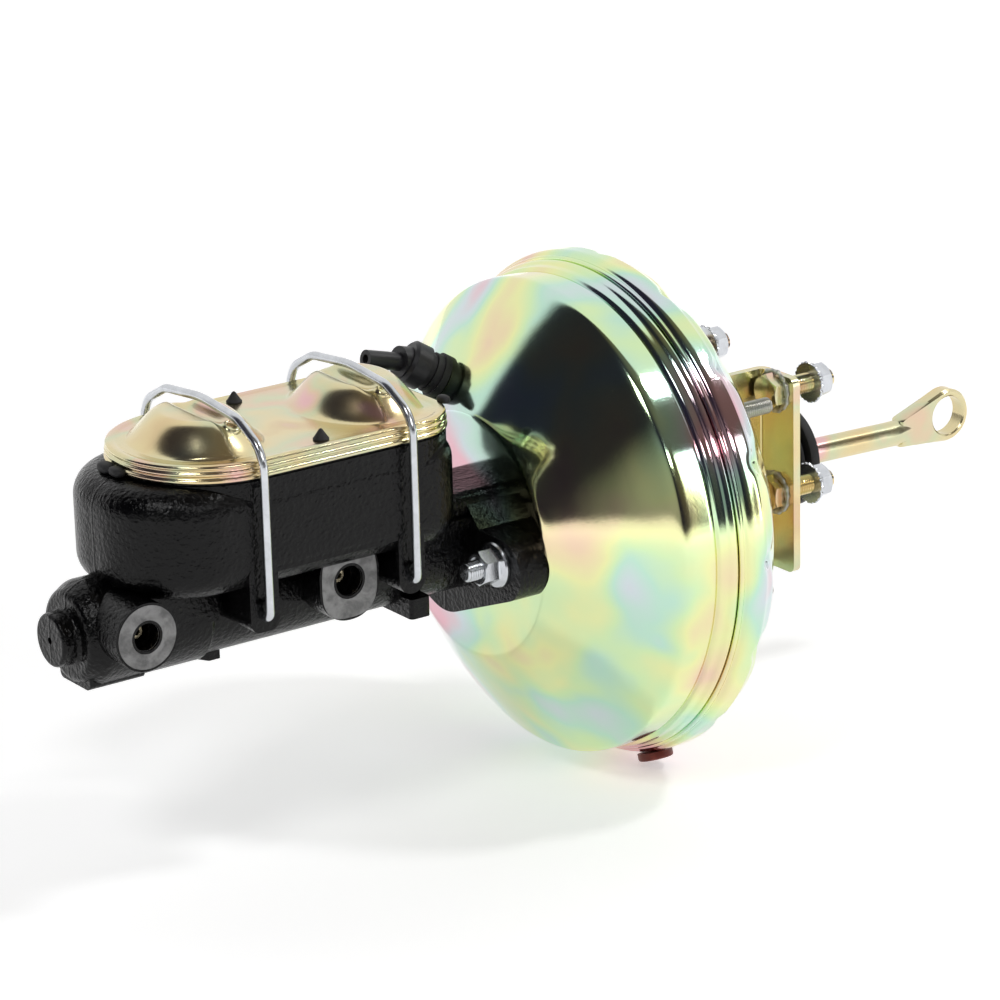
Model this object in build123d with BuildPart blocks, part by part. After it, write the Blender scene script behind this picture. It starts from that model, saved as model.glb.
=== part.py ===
from build123d import *
import math
import os

os.makedirs("parts", exist_ok=True)

# Nine inch vacuum brake booster with its tandem master cylinder, in millimetres
# X is the booster's axis with the pedal at +X, Z is up, and the origin is on the axis in the firewall plane

# Driving stations along the axis
bracket_reach = 52.5        # rear face of the shell to the firewall
rear_shell_depth = 44.0     # shell joint to the rear face
front_shell_depth = 58.0    # shell joint to the hub face that carries the master cylinder
power_stroke = 34.0         # travel of the power piston
plunger_stroke = 1.5        # travel of the valve plunger in the power piston

# Shells
shell_wall = 1.8
rim_radius = 122.0          # outside of the rear shell's drum
wall_step = 7.5             # front shell's drum wall, inside the rear drum's radius
hub_face_radius = 59.0      # edge of the flat hub face
cone_end = 17.6             # where cone and drum wall meet, ahead of the joint
shoulder_radius = 11.0      # bend from the cone to the drum wall
rim_step = 1.7              # step from the drum wall up to the front rim
front_rim_width = 8.3
front_rim_rise = 2.2        # how much the front rim widens towards its edge
seam_gap = 0.4              # axial gap between the two rims
rear_rim_rise = 2.9         # how much the rear rim widens up to the drum
rear_drum_from_joint = 13.5
rear_drum_to_joint = 21.3
rear_flat_step = 22.4       # edge of the rear flat, inside the rear drum's radius
rear_hub_radius = 22.5
rear_hub_length = 15.0
lock_lugs = 16              # pressed lock pockets around the rim
lock_lug_radius = 4.2
lock_lug_depth = 1.2
stud_plate_wall = 2.6
stud_plate_edge = 14.0      # plate beyond its studs
stud_head_edge = 3.2        # stud heads beyond their studs
stud_head_height = 3.4

# Master cylinder casting
bore_radius = 12.7          # one inch bore
cylinder_radius = 22.5
barrel_radius = 24.3        # thicker front end of the cylinder
barrel_length = 60.5
barrel_step = 2.0           # length of the step from the barrel to the cylinder
nose_to_hub = 216.5         # cast nose face to the hub face
nose_face_radius = 20.0
nose_taper = 8.0            # length of the taper from the nose face to the barrel
nose_wall = 8.5             # metal ahead of the bore
nose_boss_radius = 12.3
nose_boss_length = 8.5
nose_centre_radius = 1.6    # centre hole in the boss
nose_centre_depth = 3.0
nose_rib_ahead = 3.0        # front of the rib behind the nose face
nose_rib_length = 28.0
nose_rib_drop = 23.0        # underside of the nose rib below the axis
nose_rib_width = 26.0
flange_depth = 15.0         # flange, measured from the hub face
flange_lug_radius = 14.5
flange_lug_out = 47.0       # middles of the rounded lugs around the studs
flange_lug_drop = 2.0
flange_lobe_drop = 10.0     # middle of the flange's lower lobe below the axis
flange_top = 28.0
flange_top_half = 17.5      # half width of the flange's flat top
flange_top_round = 5.0
flange_shoulder_half = 30.0 # foot of the slopes beside the flat top
flange_shoulder_rise = 12.0
stud_spacing = 85.72        # three and three eighths inch between the studs
rear_block_half = 20.0      # block between the flange and the reservoir
collar_half = 24.0          # square collar of the cylinder ahead of the flange
collar_top = 18.0
collar_from_hub = 57.5
saddle_back = 8.0           # block over the front barrel, behind the front port
saddle_overhang = 1.5       # its length past the barrel's step
saddle_rise = 4.0           # its top above the reservoir's floor
front_port_boss_back = 2.0
foot_from_hub = 46.0        # small cast foot on the cylinder's lower near side
foot_length = 11.0
foot_out = 26.0
foot_top = 14.0
foot_drop = 23.5
bail_ear_out = 46.0
bail_ear_drop = 7.0         # lower edge of the ears below the bails' pivots
front_ear_half = 7.5
front_ear_round = 5.0
rear_ear_half = 7.0
rear_ear_round = 6.8
channel_half = 4.5          # upright channels behind the bails' legs
channel_depth = 2.5
channel_bottom = 12.0
channel_lip = 3.0           # metal left above the channels
snap_groove_depth = 0.9
snap_groove_width = 1.6
spigot_radius = 21.2
spigot_length = 12.0
reservoir_gap = 32.0        # reservoir rear wall to the hub face
reservoir_length = 168.5
reservoir_half_width = 46.0
reservoir_floor = 16.5      # outside of the floor
reservoir_floor_wall = 8.0
reservoir_shoulder = 68.0   # top of the casting around the lid
reservoir_front_flat = 5.0  # half width of the flat at the reservoir's front
reservoir_rear_corner = 17.0
reservoir_round = 13.0      # top and bottom rounding of the casting
reservoir_wall = 6.0
reservoir_web = 8.0         # wall between the two fluid chambers
web_from_lid_middle = 8.0
gasket_seat_rise = 2.0      # gasket's seat above the shoulder

# Outlet ports
port_face_out = 37.5        # port faces, sideways from the axis
port_depth = 14.0
port_thread_depth = 9.0
port_thread_height = 0.6
front_port_to_hub = 197.4
front_port_rise = 5.9
front_port_radius = 6.45
front_port_boss_radius = 15.7
rear_port_to_hub = 91.8
rear_port_rise = 8.0
rear_port_radius = 7.1
rear_port_boss_width = 31.6
rear_port_boss_height = 36.8
rear_port_boss_round = 15.0
tube_seat_bore = 1.6
tube_seat_lip = 1.2         # width of the seat's small end
feed_bore = 1.5             # drillings between reservoir, ports and bore
front_feed_back = 12.0      # drillings down from the reservoir, behind their ports
rear_feed_back = 22.0

# Lid, gasket and bails
lid_gap = 30.0              # lid rear edge to the hub face
lid_length = 155.5
lid_half_width = 46.5
lid_front_flat = 1.0        # half width of the flat at the lid's front
lid_rear_corner = 26.0
lid_rise = 1.3              # lid's rim above the casting's shoulder
lid_height = 7.7
lid_edge_round = 2.5
lid_wall = 1.5
gasket_bead = 5.0
gasket_web = 1.5
dome_half_length = 28.5
dome_half_width = 37.0
dome_height = 14.5
dome_steps = [(1.0, 0.0), (0.92, 0.45), (0.68, 0.85), (0.35, 1.0)]
front_dome_to_hub = 146.0
rear_dome_to_hub = 61.0
bail_wire_radius = 2.0
bail_half_width = 50.0
bail_pivot_rise = 5.0
bail_leg_drop = 1.0         # top of the straight legs below the lid's top
bail_crown_rise = 18.5      # crown of the wire above the lid's top
bail_shoulder_in = 4.0
bail_shoulder_rise = 7.0
bail_bend_in = 20.0
bail_bend_rise = 15.5
bail_bends = [3.5, 12.0, 12.0, 16.0]
bail_crown_bend = 60.0
bail_foot_length = 8.0
front_bail_to_hub = 142.0
rear_bail_to_hub = 63.5

# Fasteners
cylinder_stud_radius = 4.76
cylinder_stud_reach = 18.3  # past the nut seat
cylinder_nut_height = 11.0
cylinder_nut_flats = 14.6
cylinder_nut_flange = 11.0
rear_stud_radius = 4.0
rear_stud_out = 47.0        # sideways from the axis
rear_stud_rise = 46.0
rear_stud_reach = 39.4      # past the rear face of the shell
rear_nut_height = 8.0
rear_nut_flats = 13.0
rear_nut_flange = 8.6
firewall_bolt_radius = 5.0
firewall_bolt_out = 40.0
firewall_bolt_spacing = 50.8
firewall_bolt_rise = 24.2   # middle of the bolt pattern above the axis
firewall_bolt_reach = 29.5  # past the firewall plane
firewall_bolt_shank = 15.8  # full radius shank past the firewall plane
firewall_thread_step = 0.2  # thread's outside, inside the shank's radius
firewall_neck_step = 0.3    # pressed neck in the bracket, outside the shank's radius
firewall_head_flats = 16.0
firewall_head_height = 6.4
firewall_nut_stand = 16.3   # where the nut stands on its bolt
firewall_nut_height = 9.5
firewall_nut_flats = 14.6
firewall_nut_flange = 10.2

# Brackets
bracket_wall = 4.0
bracket_inner = 26.0        # inside of the legs, from the axis
bracket_plate_edge = 54.0
bracket_foot_edge = 60.0
bracket_top = 58.2
bracket_plate_bottom = 39.0
bracket_foot_bottom = 57.0
bracket_bend = 5.0          # outside radius of the bends
bracket_foot_toe = 9.0      # where the leg's lower edge leaves the foot
bracket_plate_toe = 10.0    # where it meets the firewall plate
bracket_corner = 4.0

# Power piston and valve
valve_head_ahead = 27.5     # front of the valve body, ahead of the rear face
valve_head_length = 18.0
valve_head_radius = 24.0
valve_collar_radius = 28.0
valve_collar_length = 3.4
valve_tube_radius = 16.5
valve_tail = 82.5           # end of the valve body, behind the rear face
air_bore_radius = 14.5
chamber_radius = 11.0
chamber_length = 24.0
chamber_ahead = 0.5         # front of the valve chamber, ahead of the rear face
recess_radius = 10.0
recess_depth = 10.0
reaction_thickness = 3.0
output_head_thickness = 3.6
output_rod_radius = 4.7
output_rod_gap = 0.9        # rod's tip to the bottom of the piston's socket
output_rod_tip_radius = 2.2
output_rod_tip_length = 3.0
plunger_radius = 5.0
plunger_seat_radius = 8.0
plunger_length = 38.3
plunger_play = 0.2          # left at the end of the plunger's travel
plunger_waist = 3.2
diaphragm_plate_step = 24.5 # edge of the plate, inside the drum wall's radius
diaphragm_plate_wall = 1.6
diaphragm_wall = 2.0
diaphragm_bead_step = 7.0   # outside of the bead, inside the rear drum's radius
diaphragm_bead_width = 5.0
diaphragm_bead_start = 3.5  # bead behind the joint
diaphragm_bead_end = 10.0
diaphragm_roll = 18.0       # outer bend behind the joint
hub_seal_length = 8.0
key_ahead = 7.0             # key ahead of the valve chamber
key_wall = 2.4
key_half_width = 6.0
key_slot_height = 40.0
key_slot_bottom = 10.0      # lower end of the key's slot below the axis
air_passage_out = 12.2      # passages beside the recess, from the axis
air_passage_width = 4.0
air_passage_height = 7.0
return_spring_out = 10.0    # power return spring outside the spigot
return_spring_wire = 1.8

# Pedal rod and boot
rod_radius = 6.35
rod_neck_radius = 4.0
rod_droop = 1.6             # degrees below the axis at rest
rod_swing = 4.0             # degrees either side of the axis
ball_radius = 6.0
ball_ahead = 34.5           # ball centre ahead of the firewall plane
eye_from_ball = 170.6
eye_offset = 4.8            # eye centre above the rod's own axis
eye_radius = 14.0
eye_bore_radius = 9.95
eye_thickness = 8.8
flat_from_ball = 134.0
return_seat_from_ball = 33.0 # washer for the valve return spring
return_coil_radius = 10.2
boot_disc_radius = 25.6
boot_wall = 1.4
boot_folds = 10
boot_cuff_length = 8.0
boot_fold_depth = 4.0
boot_end_length = 6.1       # end of the boot behind the valve body

# Pistons of the master cylinder
primary_length = 64.0
secondary_length = 56.0
primary_to_hub = 4.0        # rear end of the primary piston, inside the hub face
chamber_play = 6.0          # left between the pistons after a full stroke of the first alone
piston_socket_depth = 16.0
piston_waist_radius = 8.8
cup_thickness = 4.0
cup_web = 1.6
piston_land = 8.0
front_cup_inner = 5.2
piston_spring_radius = 7.4
piston_spring_wire = 1.1
spring_retainer_wall = 1.2
spring_retainer_radius = 9.6
spring_retainer_bore = 4.0
stop_screw_radius = 3.0

# Check valve and its grommet, square to the cone of the front shell
valve_clock = 61.5          # degrees from +Y towards +Z
valve_circle = 74.2         # radius of its place on the front shell
grommet_radius = 11.0
grommet_height = 10.0
grommet_neck = 6.9
grommet_stand = 0.6         # flat grommet face ahead of the curved shell
valve_stem_radius = 5.0
valve_disc_radius = 10.8
valve_disc_height = 9.0
nozzle_rise = 15.0          # degrees between the nozzle and the booster's axis
nozzle_sink = 2.5
nozzle_collar_radius = 7.5
nozzle_collar_length = 7.0
nozzle_bore = 2.2
valve_pipe_radius = 4.35
valve_pipe_length = 19.0

# Rubber plug on the rear drum
plug_clock = 250.5
plug_from_joint = 17.5
plug_radius = 8.5
plug_height = 3.8
plug_stem_radius = 5.0

# Clearances
running_clearance = 0.05
part_clearance = 0.3
hole_clearance = 0.25

# Stations worked out from the driving dimensions
rear_face_x = -bracket_reach
joint_x = rear_face_x - rear_shell_depth
hub_x = joint_x - front_shell_depth
nut_seat_x = hub_x - flange_depth
nose_x = hub_x - nose_to_hub
reservoir_rear_x = hub_x - reservoir_gap
reservoir_x = reservoir_rear_x - reservoir_length / 2
lid_rear_x = hub_x - lid_gap
lid_x = lid_rear_x - lid_length / 2
front_bail_x = hub_x - front_bail_to_hub
rear_bail_x = hub_x - rear_bail_to_hub
front_port_x = hub_x - front_port_to_hub
rear_port_x = hub_x - rear_port_to_hub
wall_radius = rim_radius - wall_step
rear_flat_radius = rim_radius - rear_flat_step
diaphragm_plate_radius = wall_radius - diaphragm_plate_step
diaphragm_bead_radius = rim_radius - diaphragm_bead_step
lid_bottom = reservoir_shoulder + lid_rise
lid_top = lid_bottom + lid_height
lid_seat_height = reservoir_shoulder + gasket_seat_rise
lid_front_corner = lid_half_width - lid_front_flat
reservoir_front_corner = reservoir_half_width - reservoir_front_flat
barrel_end_x = nose_x + barrel_length
half_wall = shell_wall / 2
rear_flat_x = rear_face_x - shell_wall
bore_front_x = nose_x + nose_wall
spigot_x = hub_x + spigot_length
valve_front_x = rear_face_x - valve_head_ahead
valve_rear_x = rear_face_x + valve_tail
recess_x = valve_front_x + recess_depth
chamber_x = rear_face_x + chamber_ahead
air_bore_x = chamber_x + chamber_length
collar_x = valve_front_x + valve_head_length - valve_collar_length
ball_x = -ball_ahead
primary_rear_x = hub_x + primary_to_hub
snap_groove_x = primary_rear_x + 0.3
primary_front_x = primary_rear_x - primary_length
secondary_rear_x = primary_front_x - power_stroke - chamber_play
secondary_front_x = secondary_rear_x - secondary_length
front_rim_x = joint_x + front_rim_width
front_rim_radius = wall_radius + rim_step + front_rim_rise

# Places of the fasteners in planes across the axis
cylinder_stud_places = [(side * stud_spacing / 2, 0) for side in (-1, 1)]
rear_stud_places = [(y * rear_stud_out, z * rear_stud_rise) for y in (-1, 1) for z in (-1, 1)]
firewall_bolt_places = [
    (side * firewall_bolt_out, firewall_bolt_rise + level * firewall_bolt_spacing / 2)
    for side in (-1, 1)
    for level in (-1, 1)
]


def finish(piece, name):
    """Label one piece and write it."""
    piece.part.label = name
    export_step(piece.part, f"parts/{name}.step")


def turned(outline):
    """A piece turned about the booster's axis from its closed half outline of (x, radius) points."""
    with BuildPart() as piece:
        with BuildSketch(Plane.XY):
            with BuildLine():
                Polyline(*outline, close=True)
            make_face()
        revolve(axis=Axis.X)
    return piece


def ring(x_from, x_to, outer, inner):
    """A plain ring about the booster's axis."""
    return turned([(x_from, inner), (x_from, outer), (x_to, outer), (x_to, inner)])


def pressed_outline(path, radii, wall):
    """Draw a sheet of even thickness in the open sketch, along a rounded path of (x, radius) points."""
    with BuildLine() as middle:
        FilletPolyline(*path, radius=radii)
    trace(middle.line, line_width=wall)


def long_plan(x_middle, length, half_width, front_corner, rear_corner):
    """Draw a long plan in the open sketch, with its own front and rear corner radii."""
    front = x_middle - length / 2
    rear = x_middle + length / 2
    corners = [(front, -half_width), (rear, -half_width), (rear, half_width), (front, half_width)]
    with BuildLine() as edge:
        FilletPolyline(
            *corners,
            radius=[front_corner, rear_corner, rear_corner, front_corner],
            close=True,
        )
    make_face(edge.line.edges())


def lid_plan(inset):
    """Draw the lid's plan in the open sketch, smaller all round by the inset."""
    long_plan(
        lid_x,
        lid_length - 2 * inset,
        lid_half_width - inset,
        lid_front_corner - inset,
        lid_rear_corner - inset,
    )


def coil(x_from, x_to, coil_radius, wire_radius, turns):
    """A compression spring about the booster's axis that fills the space from x_from to x_to."""
    run = x_to - x_from - 2 * wire_radius
    with BuildPart() as piece:
        with BuildLine() as wire_line:
            Helix(
                pitch=run / turns,
                height=run,
                radius=coil_radius,
                center=(x_from + wire_radius, 0, 0),
                direction=(1, 0, 0),
            )
        with BuildSketch(Plane(origin=wire_line.line @ 0, z_dir=wire_line.line % 0)):
            RegularPolygon(radius=wire_radius, side_count=6)
        sweep(path=wire_line.line, is_frenet=True)
    return piece


def flange_nuts(places, face_x, direction, thread_radius, across_flats, flange_radius, height):
    """Hexagon flange nuts that seat on the plane face_x and stand off it in the given direction."""
    flange_height = 0.2 * height
    cone_height = 0.16 * height
    seat = Plane.YZ.offset(face_x)
    with BuildPart() as piece:
        with BuildSketch(seat):
            with Locations(*places):
                Circle(flange_radius)
        extrude(amount=direction * flange_height)
        with Locations(*[seat.location * Location((y, z, direction * flange_height)) for y, z in places]):
            Cone(
                flange_radius,
                across_flats / 2,
                cone_height,
                rotation=(0 if direction > 0 else 180, 0, 0),
                align=(Align.CENTER, Align.CENTER, Align.MIN),
            )
        with BuildSketch(seat):
            with Locations(*places):
                RegularPolygon(radius=across_flats / 2, side_count=6, major_radius=False)
        extrude(amount=direction * height)
        with BuildSketch(seat):
            with Locations(*places):
                Circle(thread_radius + running_clearance)
        extrude(amount=direction * height, mode=Mode.SUBTRACT)
    return piece


# Front shell, one pressing with a flat hub, a steep cone, the drum wall and a stepped rim
cone_slope = (wall_radius - half_wall - hub_face_radius) / (front_shell_depth - half_wall - cone_end)
cone_lean = math.atan(1 / cone_slope)
valve_angle = math.radians(valve_clock)
valve_radial = Vector(0, math.cos(valve_angle), math.sin(valve_angle))
valve_way = Vector(-math.cos(cone_lean), 0, 0) + valve_radial * math.sin(cone_lean)
valve_seat_x = hub_x + half_wall + (valve_circle - hub_face_radius) / cone_slope
valve_seat = Vector(valve_seat_x, 0, 0) + valve_radial * valve_circle
valve_plane = Plane(origin=valve_seat + valve_way * (half_wall + grommet_stand), z_dir=valve_way)
grommet_throat = grommet_stand + shell_wall + 0.4

with BuildPart() as front_shell:
    with BuildSketch(Plane.XY):
        pressed_outline(
            [
                (hub_x + half_wall, spigot_radius + part_clearance),
                (hub_x + half_wall, hub_face_radius),
                (joint_x - cone_end, wall_radius - half_wall),
                (joint_x - half_wall, wall_radius - half_wall),
                (joint_x + half_wall, wall_radius + rim_step - half_wall),
                (front_rim_x, front_rim_radius - half_wall),
            ],
            [4.0, shoulder_radius, 0.9, 0.9],
            shell_wall,
        )
    revolve(axis=Axis.X)
    with BuildSketch(Plane.YZ.offset(hub_x)):
        with Locations(*cylinder_stud_places):
            Circle(cylinder_stud_radius + running_clearance)
    extrude(amount=shell_wall, mode=Mode.SUBTRACT)
    with BuildSketch(valve_plane):
        Circle(grommet_neck + running_clearance)
    extrude(amount=-2 * grommet_throat, mode=Mode.SUBTRACT)
finish(front_shell, "front_shell")

# Rear shell, a drum that closes to a flat with the hub tube, with lock pockets pressed into its edge
plug_angle = math.radians(plug_clock)
plug_way = Vector(0, math.cos(plug_angle), math.sin(plug_angle))
plug_base = Vector(joint_x + plug_from_joint, 0, 0)

with BuildPart() as rear_shell:
    with BuildSketch(Plane.XY):
        pressed_outline(
            [
                (front_rim_x + seam_gap, rim_radius - rear_rim_rise - half_wall),
                (joint_x + rear_drum_from_joint, rim_radius - half_wall),
                (joint_x + rear_drum_to_joint, rim_radius - half_wall),
                (rear_face_x - half_wall, rear_flat_radius),
                (rear_face_x - half_wall, rear_hub_radius - half_wall),
                (rear_face_x + rear_hub_length, rear_hub_radius - half_wall),
            ],
            [3.0, 3.0, 6.0, 2.5],
            shell_wall,
        )
    revolve(axis=Axis.X)
    for lug in range(lock_lugs):
        lug_angle = 2 * math.pi * lug / lock_lugs
        lug_way = Vector(0, math.cos(lug_angle), math.sin(lug_angle))
        lug_base = Vector(joint_x + rear_drum_to_joint, 0, 0) + lug_way * (rim_radius - lock_lug_depth)
        with BuildSketch(Plane(origin=lug_base, z_dir=lug_way)):
            Circle(lock_lug_radius)
        extrude(amount=2 * lock_lug_depth, mode=Mode.SUBTRACT)
    with BuildSketch(Plane.YZ.offset(rear_face_x)):
        with Locations(*rear_stud_places):
            Circle(rear_stud_radius + running_clearance)
    extrude(amount=-shell_wall, mode=Mode.SUBTRACT)
    with BuildSketch(Plane(origin=plug_base, z_dir=plug_way)):
        Circle(plug_stem_radius + running_clearance)
    extrude(amount=rim_radius, mode=Mode.SUBTRACT)
finish(rear_shell, "rear_shell")

# Rubber plug in the drum, with its head outside and a lip inside
with BuildPart() as rubber_plug:
    plug_seat = Plane(origin=plug_base + plug_way * (rim_radius + running_clearance), z_dir=plug_way)
    with BuildSketch(plug_seat):
        Circle(plug_radius)
    extrude(amount=plug_height)
    fillet(rubber_plug.faces().sort_by(SortBy.DISTANCE).last.edges(), 1.2)
    with BuildSketch(plug_seat):
        Circle(plug_stem_radius)
    extrude(amount=-(shell_wall + 1.2))
finish(rubber_plug, "rubber_plug")

# Stud plate that stiffens the rear flat and carries the four rear studs
with BuildPart() as stud_plate:
    with BuildSketch(Plane.YZ.offset(rear_flat_x)):
        RectangleRounded(
            2 * (rear_stud_out + stud_plate_edge), 2 * (rear_stud_rise + stud_plate_edge), stud_plate_edge
        )
        Circle(1.25 * rear_hub_radius, mode=Mode.SUBTRACT)
        with Locations(*rear_stud_places):
            Circle(rear_stud_radius + running_clearance, mode=Mode.SUBTRACT)
    extrude(amount=-stud_plate_wall)
finish(stud_plate, "stud_plate")

with BuildPart() as rear_studs:
    with BuildSketch(Plane.YZ.offset(rear_flat_x - stud_plate_wall)):
        with Locations(*rear_stud_places):
            Circle(rear_stud_radius + stud_head_edge)
    extrude(amount=-stud_head_height)
    with BuildSketch(Plane.YZ.offset(rear_flat_x - stud_plate_wall)):
        with Locations(*rear_stud_places):
            Circle(rear_stud_radius)
    extrude(amount=stud_plate_wall + shell_wall + rear_stud_reach)
    chamfer(rear_studs.faces().group_by(Axis.X)[-1].edges(), 0.8)
finish(rear_studs, "rear_studs")

rear_stud_nuts = flange_nuts(
    rear_stud_places,
    rear_face_x + bracket_wall,
    1,
    rear_stud_radius,
    rear_nut_flats,
    rear_nut_flange,
    rear_nut_height,
)
finish(rear_stud_nuts, "rear_stud_nuts")


# Firewall brackets, each bent twice from one strip: a foot on the shell, a leg and the firewall plate
def bracket(side):
    """One firewall bracket; side is -1 or 1 along Y."""
    mid_leg = side * (bracket_inner + bracket_wall / 2)
    foot_x = rear_face_x + bracket_wall / 2
    plate_x = -bracket_wall / 2
    mid_bend = bracket_bend - bracket_wall / 2
    side_plane = Plane.XZ.offset(-side * (bracket_inner - 1))
    with BuildPart() as piece:
        with BuildSketch(Plane.XY.offset(-bracket_foot_bottom)):
            with BuildLine():
                FilletPolyline(
                    (foot_x, side * bracket_foot_edge),
                    (foot_x, mid_leg),
                    (plate_x, mid_leg),
                    (plate_x, side * bracket_plate_edge),
                    radius=mid_bend,
                )
            trace(line_width=bracket_wall)
        extrude(amount=bracket_foot_bottom + bracket_top)
        with BuildSketch(side_plane):
            with BuildLine():
                Polyline(
                    (rear_face_x - 1, -bracket_foot_bottom),
                    (rear_face_x + bracket_foot_toe, -bracket_foot_bottom),
                    (-bracket_plate_toe, -bracket_plate_bottom),
                    (1, -bracket_plate_bottom),
                    (1, bracket_top),
                    (rear_face_x - 1, bracket_top),
                    close=True,
                )
            make_face()
        extrude(amount=-side * (bracket_foot_edge - bracket_inner + 2), mode=Mode.INTERSECT)
        with BuildSketch(Plane.YZ):
            with Locations(*[place for place in firewall_bolt_places if place[0] * side > 0]):
                Circle(firewall_bolt_radius + firewall_neck_step + running_clearance)
        extrude(amount=-bracket_wall, mode=Mode.SUBTRACT)
        with BuildSketch(Plane.YZ.offset(rear_face_x)):
            with Locations(*[place for place in rear_stud_places if place[0] * side > 0]):
                Circle(rear_stud_radius + hole_clearance)
        extrude(amount=bracket_wall, mode=Mode.SUBTRACT)
        ends = piece.edges().filter_by(Axis.X).filter_by(
            lambda edge: abs(abs(edge.center().Y) - bracket_plate_edge) < 0.01
        )
        fillet(ends, bracket_corner)
    return piece


bracket_left = bracket(1)
finish(bracket_left, "bracket_left")
bracket_right = bracket(-1)
finish(bracket_right, "bracket_right")

# Firewall bolts, their heads against the plates
with BuildPart() as firewall_bolts:
    with BuildSketch(Plane.YZ.offset(-bracket_wall)):
        with Locations(*firewall_bolt_places):
            RegularPolygon(radius=firewall_head_flats / 2, side_count=6, major_radius=False)
    extrude(amount=-firewall_head_height)
    with BuildSketch(Plane.YZ.offset(-bracket_wall)):
        with Locations(*firewall_bolt_places):
            Circle(firewall_bolt_radius + firewall_neck_step)
    extrude(amount=bracket_wall)
    with BuildSketch(Plane.YZ):
        with Locations(*firewall_bolt_places):
            Circle(firewall_bolt_radius)
    extrude(amount=firewall_bolt_shank)
    with BuildSketch(Plane.YZ.offset(firewall_bolt_shank)):
        with Locations(*firewall_bolt_places):
            Circle(firewall_bolt_radius - firewall_thread_step)
    extrude(amount=firewall_bolt_reach - firewall_bolt_shank)
    chamfer(firewall_bolts.faces().group_by(Axis.X)[-1].edges(), 1.0)
finish(firewall_bolts, "firewall_bolts")

firewall_nuts = flange_nuts(
    firewall_bolt_places,
    firewall_nut_stand,
    1,
    firewall_bolt_radius - firewall_thread_step,
    firewall_nut_flats,
    firewall_nut_flange,
    firewall_nut_height,
)
finish(firewall_nuts, "firewall_nuts")

# Master cylinder casting: cylinder, nose, reservoir with two chambers, port bosses and the flange
inner_floor = reservoir_floor + reservoir_floor_wall
web_x = lid_x - web_from_lid_middle
front_port_spot = (front_port_x, front_port_rise)
rear_port_spot = (rear_port_x, rear_port_rise)
port_plane = Plane.XZ.offset(port_face_out)
stop_x = secondary_front_x + piston_land + 0.5 + stop_screw_radius
saddle_front_x = front_port_x + saddle_back
saddle_rear_x = barrel_end_x + barrel_step + saddle_overhang
flange_lug_places = [(side * flange_lug_out, -flange_lug_drop) for side in (-1, 1)]
flange_corner_out = flange_top_half - flange_top_round
flange_corner_places = [(side * flange_corner_out, flange_top - flange_top_round) for side in (-1, 1)]
bail_ears = [
    (front_bail_x, front_ear_half, front_ear_round),
    (rear_bail_x, rear_ear_half, rear_ear_round),
]

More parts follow.
